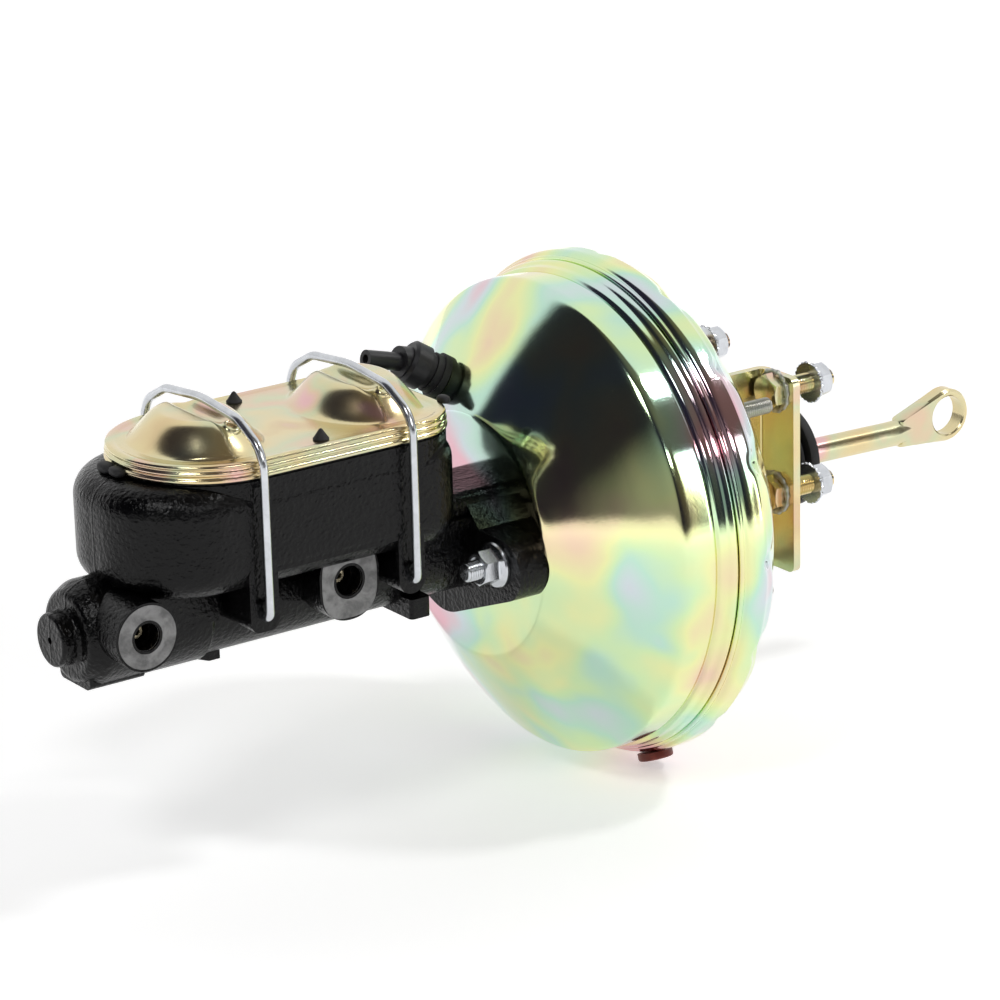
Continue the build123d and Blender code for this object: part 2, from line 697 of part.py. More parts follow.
with BuildPart() as master_cylinder_body:
    with BuildSketch(Plane.XY):
        with BuildLine():
            FilletPolyline(
                (nose_x - nose_boss_length, 0),
                (nose_x - nose_boss_length, nose_boss_radius),
                (nose_x, nose_boss_radius),
                (nose_x, nose_face_radius),
                (nose_x + nose_taper, barrel_radius),
                (barrel_end_x, barrel_radius),
                (barrel_end_x + barrel_step, cylinder_radius),
                (hub_x, cylinder_radius),
                (hub_x, spigot_radius),
                (spigot_x, spigot_radius),
                (spigot_x, 0),
                radius=[0.1, 1.6, 2.0, 4.0, 8.0, 0.8, 0.8, 0.1, 0.1, 1.0, 0.1],
                close=True,
            )
        make_face()
    revolve(axis=Axis.X)

    # reservoir
    with BuildSketch(Plane.XY.offset(reservoir_floor)):
        long_plan(
            reservoir_x,
            reservoir_length,
            reservoir_half_width,
            reservoir_front_corner,
            reservoir_rear_corner,
        )
    reservoir = extrude(amount=reservoir_shoulder - reservoir_floor, mode=Mode.PRIVATE)
    add(reservoir.fillet(reservoir_round, reservoir.faces().filter_by(Axis.Z).edges()))
    with BuildSketch(Plane.XY.offset(inner_floor)):
        lid_plan(0.8)
    extrude(amount=reservoir_shoulder - inner_floor)
    with BuildSketch(Plane.XY.offset(inner_floor)):
        lid_plan(lid_wall + part_clearance)
    extrude(amount=lid_seat_height - inner_floor)

    # flange: a wide body around the studs and a sloped block on top of it
    with BuildSketch(Plane.YZ.offset(hub_x)):
        with Locations(*flange_lug_places):
            Circle(flange_lug_radius)
        with Locations((0, -flange_lobe_drop)):
            Circle(barrel_radius)
        make_hull()
    extrude(amount=-flange_depth)
    with BuildSketch(Plane.YZ.offset(hub_x)):
        with Locations(*flange_corner_places):
            Circle(flange_top_round)
        with Locations((0, flange_shoulder_rise)):
            Rectangle(2 * flange_shoulder_half, 1)
        make_hull()
    extrude(amount=-flange_depth)

    # block from the flange to the reservoir, square collar, saddle over the barrel and the small foot
    with BuildSketch(Plane.YZ.offset(hub_x)):
        with Locations((0, flange_top / 2)):
            RectangleRounded(2 * rear_block_half, flange_top, flange_top_round)
    extrude(amount=-(reservoir_gap + reservoir_rear_corner))
    with BuildSketch(Plane.YZ.offset(hub_x)):
        with Locations((0, collar_top / 2)):
            Rectangle(2 * collar_half, collar_top)
    extrude(amount=-collar_from_hub)
    with BuildSketch(Plane.XY):
        with Locations(((saddle_front_x + saddle_rear_x) / 2, 0)):
            Rectangle(saddle_rear_x - saddle_front_x, 2 * barrel_radius)
    extrude(amount=reservoir_floor + saddle_rise)
    with BuildSketch(Plane.XY.offset(-foot_drop)):
        with Locations((hub_x - foot_from_hub, -foot_out / 2)):
            RectangleRounded(foot_length, foot_out, 2)
    extrude(amount=foot_drop - foot_top)

    # outlet port bosses, the rib under the nose and the ears that hold the bails
    with BuildSketch(port_plane):
        with Locations(front_port_spot):
            Circle(front_port_boss_radius)
    extrude(amount=-(port_face_out + front_port_boss_back))
    with BuildSketch(port_plane):
        with Locations(rear_port_spot):
            RectangleRounded(rear_port_boss_width, rear_port_boss_height, rear_port_boss_round)
    extrude(amount=-port_face_out)
    with BuildSketch(Plane.YZ.offset(nose_x + nose_rib_ahead)):
        with Locations((0, -nose_rib_drop / 2)):
            RectangleRounded(nose_rib_width, nose_rib_drop, 3)
    extrude(amount=nose_rib_length)
    for bail_x, ear_half, ear_round in bail_ears:
        ear_bottom = bail_pivot_rise - bail_ear_drop
        with BuildSketch(Plane.XZ.offset(-bail_ear_out)):
            with Locations((bail_x, (ear_bottom + reservoir_floor + reservoir_round) / 2)):
                RectangleRounded(2 * ear_half, reservoir_floor + reservoir_round - ear_bottom, ear_round)
        extrude(amount=2 * bail_ear_out)

    # hollows: fluid chambers, cylinder bore, ports and the drillings between them
    with BuildSketch(Plane.XY.offset(inner_floor)):
        lid_plan(reservoir_wall)
        with Locations((web_x, 0)):
            Rectangle(reservoir_web, 3 * lid_half_width, mode=Mode.SUBTRACT)
    extrude(amount=lid_seat_height, mode=Mode.SUBTRACT)
    with BuildSketch(Plane.XY):
        with BuildLine():
            Polyline(
                (bore_front_x - 3, 0),
                (bore_front_x, bore_radius),
                (snap_groove_x, bore_radius),
                (snap_groove_x, bore_radius + snap_groove_depth),
                (snap_groove_x + snap_groove_width, bore_radius + snap_groove_depth),
                (snap_groove_x + snap_groove_width, bore_radius),
                (spigot_x - 1, bore_radius),
                (spigot_x, bore_radius + 1),
                (spigot_x + 1, bore_radius + 1),
                (spigot_x + 1, 0),
                close=True,
            )
        make_face()
    revolve(axis=Axis.X, mode=Mode.SUBTRACT)
    for spot, radius in ((front_port_spot, front_port_radius), (rear_port_spot, rear_port_radius)):
        with BuildSketch(port_plane):
            with Locations(spot):
                Circle(radius)
        extrude(amount=-port_thread_depth, mode=Mode.SUBTRACT)
        with BuildSketch(port_plane):
            with Locations(spot):
                Circle(radius - port_thread_height)
        extrude(amount=-port_depth, mode=Mode.SUBTRACT)
        with BuildSketch(port_plane):
            with Locations(spot):
                Circle(feed_bore)
        extrude(amount=-port_face_out, mode=Mode.SUBTRACT)
    with BuildSketch(Plane.XY):
        with Locations((front_port_x + front_feed_back, 0), (rear_port_x + rear_feed_back, 0)):
            Circle(feed_bore)
    extrude(amount=inner_floor + 1, mode=Mode.SUBTRACT)
    with BuildSketch(Plane.YZ.offset(hub_x)):
        with Locations(*cylinder_stud_places):
            Circle(cylinder_stud_radius + hole_clearance)
    extrude(amount=-flange_depth, mode=Mode.SUBTRACT)
    for bail_x in (front_bail_x, rear_bail_x):
        with BuildSketch(Plane.XY.offset(channel_bottom)):
            with Locations((bail_x, -reservoir_half_width), (bail_x, reservoir_half_width)):
                Rectangle(2 * channel_half, 2 * channel_depth)
        extrude(amount=reservoir_shoulder - channel_lip - channel_bottom, mode=Mode.SUBTRACT)
        with BuildSketch(Plane.XZ.offset(-bail_ear_out)):
            with Locations((bail_x, bail_pivot_rise)):
                Circle(bail_wire_radius + running_clearance)
        extrude(amount=bail_foot_length, mode=Mode.SUBTRACT)
        with BuildSketch(Plane.XZ.offset(bail_ear_out)):
            with Locations((bail_x, bail_pivot_rise)):
                Circle(bail_wire_radius + running_clearance)
        extrude(amount=-bail_foot_length, mode=Mode.SUBTRACT)
    with BuildSketch(Plane.XY.offset(-barrel_radius)):
        with Locations((stop_x, 0)):
            Circle(stop_screw_radius + running_clearance)
    extrude(amount=barrel_radius, mode=Mode.SUBTRACT)
    with BuildSketch(Plane.YZ.offset(nose_x - nose_boss_length)):
        Circle(nose_centre_radius)
    extrude(amount=nose_centre_depth, mode=Mode.SUBTRACT)
finish(master_cylinder_body, "master_cylinder_body")

# Brass tube seats at the bottoms of the two outlet ports
tube_seat_height = port_depth - port_thread_depth
with BuildPart() as tube_seats:
    for (seat_x, seat_z), radius in zip(
        (front_port_spot, rear_port_spot), (front_port_radius, rear_port_radius)
    ):
        seat_plane = Plane.XZ.offset(port_face_out - port_depth)
        seat_spot = seat_plane.location * Location((seat_x, seat_z, 0))
        with Locations(seat_spot):
            Cone(
                radius - port_thread_height - running_clearance,
                tube_seat_bore + tube_seat_lip,
                tube_seat_height,
                align=(Align.CENTER, Align.CENTER, Align.MIN),
            )
            Cylinder(
                tube_seat_bore,
                tube_seat_height,
                align=(Align.CENTER, Align.CENTER, Align.MIN),
                mode=Mode.SUBTRACT,
            )
finish(tube_seats, "tube_seats")

# Piston stop screw, from below, and the snap ring that keeps the pistons in the bore
stop_head_drop = cylinder_radius + running_clearance
stop_head_flats = 10.0
stop_head_height = 4.0
stop_tip_gap = 1.0
snap_ring_width = 2.6
with BuildPart() as piston_stop_screw:
    with BuildSketch(Plane.XY.offset(-stop_head_drop)):
        with Locations((stop_x, 0)):
            RegularPolygon(radius=stop_head_flats / 2, side_count=6, major_radius=False)
    extrude(amount=-stop_head_height)
    with BuildSketch(Plane.XY.offset(-stop_head_drop)):
        with Locations((stop_x, 0)):
            Circle(stop_screw_radius)
    extrude(amount=stop_head_drop - piston_waist_radius - stop_tip_gap)
finish(piston_stop_screw, "piston_stop_screw")

piston_snap_ring = ring(
    snap_groove_x + running_clearance,
    snap_groove_x + snap_groove_width - running_clearance,
    bore_radius + snap_groove_depth - running_clearance,
    bore_radius - snap_ring_width,
)
finish(piston_snap_ring, "piston_snap_ring")

# Lid pressed from sheet with two oval domes, on a rubber gasket
gasket_top = lid_top - lid_wall - running_clearance
with BuildPart() as reservoir_lid:
    with BuildSketch(Plane.XY.offset(lid_bottom)):
        lid_plan(0)
    extrude(amount=lid_top - lid_bottom)
    fillet(reservoir_lid.faces().sort_by(Axis.Z).last.edges(), lid_edge_round)
    for dome_to_hub in (front_dome_to_hub, rear_dome_to_hub):
        for share, rise in dome_steps:
            with BuildSketch(Plane.XY.offset(lid_top - lid_wall + rise * dome_height)):
                with Locations((hub_x - dome_to_hub, 0)):
                    Ellipse(share * dome_half_length, share * dome_half_width)
        loft()
    with BuildSketch(Plane.XY.offset(lid_bottom)):
        lid_plan(lid_wall)
    extrude(amount=lid_top - lid_wall - lid_bottom, mode=Mode.SUBTRACT)
    for dome_to_hub in (front_dome_to_hub, rear_dome_to_hub):
        for share, rise in dome_steps:
            with BuildSketch(Plane.XY.offset(lid_top - 2 * lid_wall + rise * dome_height)):
                with Locations((hub_x - dome_to_hub, 0)):
                    Ellipse(share * dome_half_length - lid_wall, share * dome_half_width - lid_wall)
        loft(mode=Mode.SUBTRACT)
finish(reservoir_lid, "reservoir_lid")

with BuildPart() as lid_gasket:
    with BuildSketch(Plane.XY.offset(lid_seat_height)):
        lid_plan(lid_wall + part_clearance)
    extrude(amount=gasket_top - lid_seat_height)
    with BuildSketch(Plane.XY.offset(lid_seat_height + gasket_web)):
        lid_plan(lid_wall + part_clearance + gasket_bead)
    extrude(amount=gasket_top - lid_seat_height, mode=Mode.SUBTRACT)
finish(lid_gasket, "lid_gasket")


# Wire bails over the lid, each hinged by its two feet in the casting's ears
def bail(bail_x):
    """One wire bail in the plane across the axis at bail_x."""
    foot = bail_ear_out - bail_foot_length + part_clearance
    half = [
        (foot, bail_pivot_rise),
        (bail_half_width, bail_pivot_rise),
        (bail_half_width, lid_top - bail_leg_drop),
        (bail_half_width - bail_shoulder_in, lid_top + bail_shoulder_rise),
        (bail_half_width - bail_bend_in, lid_top + bail_bend_rise),
    ]
    path = [(bail_x, -y, z) for y, z in half] + [(bail_x, 0, lid_top + bail_crown_rise)]
    path += [(bail_x, y, z) for y, z in reversed(half)]
    with BuildPart() as piece:
        with BuildLine() as wire_line:
            FilletPolyline(*path, radius=[*bail_bends, bail_crown_bend, *reversed(bail_bends)])
        with BuildSketch(Plane(origin=wire_line.line @ 0, z_dir=wire_line.line % 0)):
            Circle(bail_wire_radius)
        sweep(path=wire_line.line)
    return piece


front_bail = bail(front_bail_x)
finish(front_bail, "front_bail")
rear_bail = bail(rear_bail_x)
finish(rear_bail, "rear_bail")

# Studs and nuts that hold the master cylinder to the front shell
with BuildPart() as cylinder_studs:
    with BuildSketch(Plane.YZ.offset(hub_x + shell_wall)):
        with Locations(*cylinder_stud_places):
            Circle(cylinder_stud_radius + stud_head_edge)
    extrude(amount=stud_head_height)
    with BuildSketch(Plane.YZ.offset(hub_x + shell_wall)):
        with Locations(*cylinder_stud_places):
            Circle(cylinder_stud_radius)
    extrude(amount=-(shell_wall + flange_depth + cylinder_stud_reach))
    chamfer(cylinder_studs.faces().group_by(Axis.X)[0].edges(), 1.0)
finish(cylinder_studs, "cylinder_studs")

cylinder_nuts = flange_nuts(
    cylinder_stud_places,
    nut_seat_x,
    -1,
    cylinder_stud_radius,
    cylinder_nut_flats,
    cylinder_nut_flange,
    cylinder_nut_height,
)
finish(cylinder_nuts, "cylinder_nuts")

# Front seal around the casting's spigot, against the inside of the shell
front_seal = turned(
    [
        (hub_x + shell_wall + running_clearance, spigot_radius + running_clearance),
        (hub_x + shell_wall + running_clearance, spigot_radius + 6),
        (hub_x + shell_wall + 3.5, spigot_radius + 6),
        (hub_x + spigot_length - 3.5, spigot_radius + 2.5),
        (hub_x + spigot_length - 3.5, spigot_radius + running_clearance),
    ]
)
finish(front_seal, "front_seal")

# Rear hub seal, between the hub tube and the valve body
rear_hub_seal = ring(
    rear_face_x + 1,
    rear_face_x + 1 + hub_seal_length,
    rear_hub_radius - shell_wall - running_clearance,
    valve_tube_radius + running_clearance,
)
finish(rear_hub_seal, "rear_hub_seal")

# Check valve, plugged into a stepped rubber grommet in the front shell
with BuildPart() as valve_grommet:
    for start, end, radius in (
        (-grommet_throat - 2.5, -grommet_throat, grommet_neck + 1.5),
        (-grommet_throat, 0, grommet_neck),
        (0, 0.34 * grommet_height, grommet_radius),
        (0.34 * grommet_height, 0.68 * grommet_height, grommet_radius - 1.2),
        (0.68 * grommet_height, grommet_height, grommet_radius - 2.4),
    ):
        with BuildSketch(valve_plane.offset(start)):
            Circle(radius)
        extrude(amount=end - start)
    with BuildSketch(valve_plane.offset(grommet_height)):
        Circle(valve_stem_radius + running_clearance)
    extrude(amount=-(grommet_height + grommet_throat + 3), mode=Mode.SUBTRACT)
finish(valve_grommet, "valve_grommet")

disc_start = grommet_height + part_clearance
nozzle_angle = math.radians(nozzle_rise)
nozzle_way = Vector(-math.cos(nozzle_angle), 0, math.sin(nozzle_angle))
nozzle_start = disc_start + valve_disc_height - nozzle_sink
nozzle_plane = Plane(origin=valve_plane.origin + valve_way * nozzle_start, z_dir=nozzle_way)
with BuildPart() as check_valve:
    with BuildSketch(valve_plane.offset(-grommet_throat)):
        Circle(valve_stem_radius)
    extrude(amount=grommet_throat + disc_start)
    with BuildSketch(valve_plane.offset(disc_start)):
        Circle(valve_disc_radius)
    extrude(amount=valve_disc_height)
    disc_rings = check_valve.edges().filter_by(GeomType.CIRCLE)
    chamfer(disc_rings.sort_by(Axis(valve_plane.origin, valve_way))[-1], 1.5)
    with BuildSketch(nozzle_plane):
        Circle(nozzle_collar_radius)
    extrude(amount=nozzle_collar_length)
    with BuildSketch(nozzle_plane.offset(nozzle_collar_length)):
        Circle(valve_pipe_radius)
    extrude(amount=valve_pipe_length)
    with BuildSketch(nozzle_plane):
        Circle(nozzle_bore)
    extrude(amount=nozzle_collar_length + valve_pipe_length, mode=Mode.SUBTRACT)
    with BuildSketch(valve_plane.offset(-grommet_throat)):
        Circle(nozzle_bore)
    extrude(amount=grommet_throat + nozzle_start, mode=Mode.SUBTRACT)
finish(check_valve, "check_valve")

# Valve body: head with its collar, the tube through the hub, and the valve's chambers inside
key_x = chamber_x - key_ahead
key_slot_play = plunger_stroke + plunger_play
with BuildPart() as valve_body:
    with BuildSketch(Plane.XY):
        with BuildLine():
            Polyline(
                (valve_front_x, recess_radius),
                (valve_front_x, valve_head_radius - 3),
                (valve_front_x + 3, valve_head_radius),
                (collar_x, valve_head_radius),
                (collar_x, valve_collar_radius),
                (collar_x + valve_collar_length, valve_collar_radius),
                (collar_x + valve_collar_length, valve_tube_radius),
                (valve_rear_x, valve_tube_radius),
                (valve_rear_x, air_bore_radius),
                (air_bore_x, air_bore_radius),
                (air_bore_x, chamber_radius),
                (chamber_x, chamber_radius),
                (chamber_x, plunger_radius + running_clearance),
                (recess_x, plunger_radius + running_clearance),
                (recess_x, recess_radius),
                close=True,
            )
        make_face()
    revolve(axis=Axis.X)
    with BuildSketch(Plane.YZ.offset(key_x)):
        with Locations((0, key_slot_height / 2 - key_slot_bottom)):
            Rectangle(2 * key_half_width + 0.4, key_slot_height)
    extrude(amount=key_wall + 0.2, mode=Mode.SUBTRACT)
    for level in (-1, 1):
        with BuildSketch(Plane.YZ.offset(valve_front_x)):
            with Locations((level * air_passage_out, 0)):
                Rectangle(air_passage_width, air_passage_height)
        extrude(amount=chamber_x + 2 - valve_front_x, mode=Mode.SUBTRACT)
finish(valve_body, "valve_body")

with BuildPart() as valve_key:
    with BuildSketch(Plane.YZ.offset(key_x + 0.1)):
        with Locations((0, (valve_tube_radius + 2.5 - key_slot_bottom + 1) / 2)):
            Rectangle(2 * key_half_width, valve_tube_radius + 2.5 + key_slot_bottom - 1)
        with Locations((0, -key_slot_bottom / 2)):
            Rectangle(2 * plunger_waist + 0.4, key_slot_bottom, mode=Mode.SUBTRACT)
        Circle(plunger_waist + 0.2, mode=Mode.SUBTRACT)
    extrude(amount=key_wall)
finish(valve_key, "valve_key")

# Reaction disc, output rod and its retainer in the front recess of the valve body
reaction_disc = ring(recess_x - reaction_thickness, recess_x, recess_radius - running_clearance, 0)
finish(reaction_disc, "reaction_disc")
output_head_x = recess_x - reaction_thickness - output_head_thickness
output_tip_x = primary_rear_x - piston_socket_depth + output_rod_gap
output_rod = turned(
    [
        (recess_x - reaction_thickness, 0),
        (recess_x - reaction_thickness, recess_radius - running_clearance),
        (output_head_x, recess_radius - running_clearance),
        (output_head_x, output_rod_radius),
        (output_tip_x + output_rod_tip_length, output_rod_radius),
        (output_tip_x, output_rod_tip_radius),
        (output_tip_x, 0),
    ]
)
finish(output_rod, "output_rod")
output_rod_retainer = ring(
    valve_front_x + 0.6, output_head_x - running_clearance, recess_radius - running_clearance, 6.4
)
finish(output_rod_retainer, "output_rod_retainer")

# Diaphragm plate and the rolling rubber diaphragm behind it
plate_face_x = collar_x - diaphragm_wall - 2 * part_clearance - diaphragm_plate_wall / 2
with BuildPart() as diaphragm_plate:
    with BuildSketch(Plane.XY):
        pressed_outline(
            [
                (plate_face_x, valve_head_radius + running_clearance),
                (plate_face_x, diaphragm_plate_radius - 7),
                (plate_face_x - 7, diaphragm_plate_radius),
            ],
            [4.0],
            diaphragm_plate_wall,
        )
    revolve(axis=Axis.X)
finish(diaphragm_plate, "diaphragm_plate")

diaphragm_x = collar_x - part_clearance - diaphragm_wall / 2
with BuildPart() as diaphragm:
    with BuildSketch(Plane.XY):
        pressed_outline(
            [
                (diaphragm_x, valve_head_radius + part_clearance),
                (diaphragm_x, diaphragm_plate_radius + 6),
                (joint_x + diaphragm_roll, diaphragm_bead_radius - 4),
                (joint_x + diaphragm_bead_start + 2.5, diaphragm_bead_radius - 3),
            ],
            [6.0, 5.0],
            diaphragm_wall,
        )
    revolve(axis=Axis.X)
    add(
        ring(
            joint_x + diaphragm_bead_start,
            joint_x + diaphragm_bead_end,
            diaphragm_bead_radius,
            diaphragm_bead_radius - diaphragm_bead_width,
        ).part
    )
finish(diaphragm, "diaphragm")

# Power return spring, from the front seal's seat to the diaphragm plate
power_return_spring = coil(
    hub_x + shell_wall + part_clearance,
    plate_face_x - diaphragm_plate_wall / 2 - part_clearance,
    spigot_radius + return_spring_out,
    return_spring_wire,
    6,
)
finish(power_return_spring, "power_return_spring")

# Valve plunger with the ball socket for the pedal rod
plunger_front_x = recess_x + plunger_stroke + plunger_play
plunger_rear_x = plunger_front_x + plunger_length
seat_x = chamber_x + plunger_stroke + 0.4
plunger_seat_length = 4.0
with BuildPart() as valve_plunger:
    with BuildSketch(Plane.XY):
        with BuildLine():
            Polyline(
                (plunger_front_x, 0),
                (plunger_front_x, plunger_radius),
                (key_x - key_slot_play, plunger_radius),
                (key_x - key_slot_play, plunger_waist),
                (key_x + key_wall + key_slot_play, plunger_waist),
                (key_x + key_wall + key_slot_play, plunger_radius),
                (seat_x, plunger_radius),
                (seat_x, plunger_seat_radius),
                (seat_x + plunger_seat_length, plunger_seat_radius),
                (seat_x + plunger_seat_length, ball_radius + 1.4),
                (plunger_rear_x, ball_radius + 1.4),
                (plunger_rear_x, 0),
                close=True,
            )
        make_face()
    revolve(axis=Axis.X)
    with BuildSketch(Plane.YZ.offset(ball_x)):
        Circle(ball_radius + running_clearance)
    extrude(amount=plunger_rear_x - ball_x, mode=Mode.SUBTRACT)
    with Locations((ball_x, 0, 0)):
        Sphere(ball_radius + running_clearance, mode=Mode.SUBTRACT)
finish(valve_plunger, "valve_plunger")

# Poppet, its spring and the retainer that holds them in the valve body
poppet_x = seat_x + plunger_seat_length + 0.1
poppet_wall = 2.5
poppet = ring(poppet_x, poppet_x + poppet_wall, chamber_radius - running_clearance, ball_radius + 1.8)
finish(poppet, "poppet")
retainer_x = air_bore_x - 3.0
poppet_retainer = turned(
    [
        (retainer_x, ball_radius + 3.4),
        (retainer_x, chamber_radius - running_clearance),
        (air_bore_x + running_clearance, chamber_radius - running_clearance),
        (air_bore_x + running_clearance, air_bore_radius - running_clearance),
        (air_bore_x + 1.6, air_bore_radius - running_clearance),
        (air_bore_x + 1.6, ball_radius + 3.4),
    ]
)
finish(poppet_retainer, "poppet_retainer")
poppet_spring = coil(poppet_x + poppet_wall + 0.2, retainer_x - 0.2, 9.3, 0.5, 4)
finish(poppet_spring, "poppet_spring")
valve_return_spring = coil(
    air_bore_x + 1.6 + part_clearance, ball_x + return_seat_from_ball - 0.5, return_coil_radius, 0.8, 5
)
finish(valve_return_spring, "valve_return_spring")

# Air filter and silencer inside the rear of the valve body
filter_inner = 11.3
air_filter = ring(valve_rear_x - 22, valve_rear_x - 9, air_bore_radius - running_clearance, filter_inner)
finish(air_filter, "air_filter")
silencer = ring(valve_rear_x - 8.9, valve_rear_x - 0.5, air_bore_radius - running_clearance, filter_inner)
finish(silencer, "silencer")

# Pedal rod: ball, neck, round rod, a flattened end and the eye, drooping a little from its ball
droop = math.radians(rod_droop)
rod_way = Vector(math.cos(droop), 0, -math.sin(droop))
rod_plane = Plane(origin=(ball_x, 0, 0), x_dir=rod_way, z_dir=(0, -1, 0))
with BuildPart() as pedal_rod:
    with Locations((ball_x, 0, 0)):
        Sphere(ball_radius)
    with BuildSketch(rod_plane):
        with BuildLine():
            Polyline(
                (0, 0),
                (0, rod_neck_radius),
                (12, rod_neck_radius),
                (16, rod_radius),
                (flat_from_ball + 4, rod_radius),
                (flat_from_ball + 4, 0),
                close=True,
            )
        make_face()
    revolve(axis=Axis((ball_x, 0, 0), rod_way))
    with BuildSketch(rod_plane):
        with Locations((eye_from_ball, eye_offset)):
            Circle(eye_radius)
        with Locations((flat_from_ball - 8, 0)):
            Circle(rod_radius)
        make_hull()
    extrude(amount=eye_thickness / 2, both=True)
    with BuildSketch(rod_plane):
        with Locations((eye_from_ball, eye_offset)):
            Circle(eye_bore_radius)
    extrude(amount=eye_thickness, both=True, mode=Mode.SUBTRACT)
finish(pedal_rod, "pedal_rod")

# Washer on the rod that takes the valve return spring
with BuildPart() as spring_seat:
    with BuildSketch(rod_plane):
        with Locations((return_seat_from_ball + 0.6, (return_coil_radius + 1.2 + rod_radius) / 2)):
            Rectangle(1.2, return_coil_radius + 1.2 - rod_radius - 2 * running_clearance)
    revolve(axis=Axis((ball_x, 0, 0), rod_way))
finish(spring_seat, "spring_seat")

# Dust boot, a folded rubber tube from the hub to the end of the valve body
cuff_radius = rear_hub_radius + part_clearance + boot_wall / 2
boot_end_from_ball = valve_rear_x + boot_end_length - ball_x
rod_opening = rod_radius + boot_end_from_ball * math.tan(math.radians(rod_swing)) + part_clearance / 2
fold_start = rear_face_x + rear_hub_length + 2.0
fold_end = valve_rear_x
fold_pitch = (fold_end - fold_start) / boot_folds
boot_path = [(rear_face_x + rear_hub_length - boot_cuff_length, cuff_radius), (fold_start, cuff_radius)]
for fold in range(boot_folds):
    boot_path.append((fold_start + (fold + 0.5) * fold_pitch, cuff_radius - boot_fold_depth))
    boot_path.append((fold_start + (fold + 1) * fold_pitch, cuff_radius))
with BuildPart() as boot:
    with BuildSketch(Plane.XY):
        pressed_outline(boot_path, 0.5, boot_wall)
    revolve(axis=Axis.X)
    boot_seat_x = valve_rear_x + part_clearance
    add(ring(boot_seat_x, boot_seat_x + 3.0, cuff_radius, rod_opening).part)
    add(ring(boot_seat_x + 2.6, valve_rear_x + boot_end_length, boot_disc_radius, rod_opening).part)
finish(boot, "boot")


# Pistons, cups and springs in the bore
def piston(rear_x, length, socket_radius, socket_depth, nose_socket):
    """One piston with two lands, a waist, two cup grooves and sockets at both ends."""
    front_x = rear_x - length
    fit = bore_radius - running_clearance
    return turned(
        [
            (front_x, nose_socket),
            (front_x, fit - 1),
            (front_x + 1, fit),
            (front_x + piston_land, fit),
            (front_x + piston_land, piston_waist_radius),
            (rear_x - piston_land - cup_thickness - 2, piston_waist_radius),
            (rear_x - piston_land - cup_thickness - 2, fit),
            (rear_x - piston_land - cup_thickness, fit),
            (rear_x - piston_land - cup_thickness, piston_waist_radius),
            (rear_x - piston_land, piston_waist_radius),
            (rear_x - piston_land, fit),
            (rear_x, fit),
            (rear_x, socket_radius),
            (rear_x - socket_depth, socket_radius),
            (rear_x - socket_depth - 1, 0),
            (front_x + piston_land, 0),
            (front_x + piston_land - 1, nose_socket),
        ]
    )


def cup(face_x, inner):
    """One rubber cup, a web with its lip towards the front."""
    web_x = face_x - cup_web
    lip_x = face_x - cup_thickness + 0.2
    return turned(
        [
            (face_x, inner),
            (web_x, inner),
            (web_x, bore_radius - 2.8),
            (lip_x, bore_radius - 1.6),
            (lip_x, bore_radius - running_clearance),
            (face_x, bore_radius - 0.5),
        ]
    )


primary_piston = piston(primary_rear_x, primary_length, 5.6, piston_socket_depth, 5.0)
finish(primary_piston, "primary_piston")
secondary_piston = piston(secondary_rear_x, secondary_length, 5.0, 7.0, 5.0)
finish(secondary_piston, "secondary_piston")

# Cups: a primary cup at the front of each piston and a secondary cup in each rear groove
with BuildPart() as primary_cups:
    add(cup(primary_front_x - running_clearance, front_cup_inner).part)
    add(cup(primary_rear_x - piston_land - running_clearance, piston_waist_radius + running_clearance).part)
finish(primary_cups, "primary_cups")
with BuildPart() as secondary_cups:
    add(cup(secondary_front_x - running_clearance, front_cup_inner).part)
    add(cup(secondary_rear_x - piston_land - running_clearance, piston_waist_radius + running_clearance).part)
finish(secondary_cups, "secondary_cups")

# Piston springs with their retainers in front of the cups
primary_cup_face_x = primary_front_x - cup_web - 2 * running_clearance
secondary_cup_face_x = secondary_front_x - cup_web - 2 * running_clearance
primary_spring_end_x = primary_cup_face_x - spring_retainer_wall
secondary_spring_end_x = secondary_cup_face_x - spring_retainer_wall
primary_spring_retainer = ring(
    primary_spring_end_x, primary_cup_face_x, spring_retainer_radius, spring_retainer_bore
)
finish(primary_spring_retainer, "primary_spring_retainer")
secondary_spring_retainer = ring(
    secondary_spring_end_x, secondary_cup_face_x, spring_retainer_radius, spring_retainer_bore
)
finish(secondary_spring_retainer, "secondary_spring_retainer")
primary_spring = coil(
    secondary_rear_x + part_clearance,
    primary_spring_end_x - part_clearance,
    piston_spring_radius,
    piston_spring_wire,
    5,
)
finish(primary_spring, "primary_spring")
secondary_spring = coil(
    bore_front_x + part_clearance,
    secondary_spring_end_x - part_clearance,
    piston_spring_radius,
    piston_spring_wire,
    6,
)
finish(secondary_spring, "secondary_spring")
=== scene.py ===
import math
import bmesh
import bpy
import numpy as np
from mathutils import Matrix, Vector


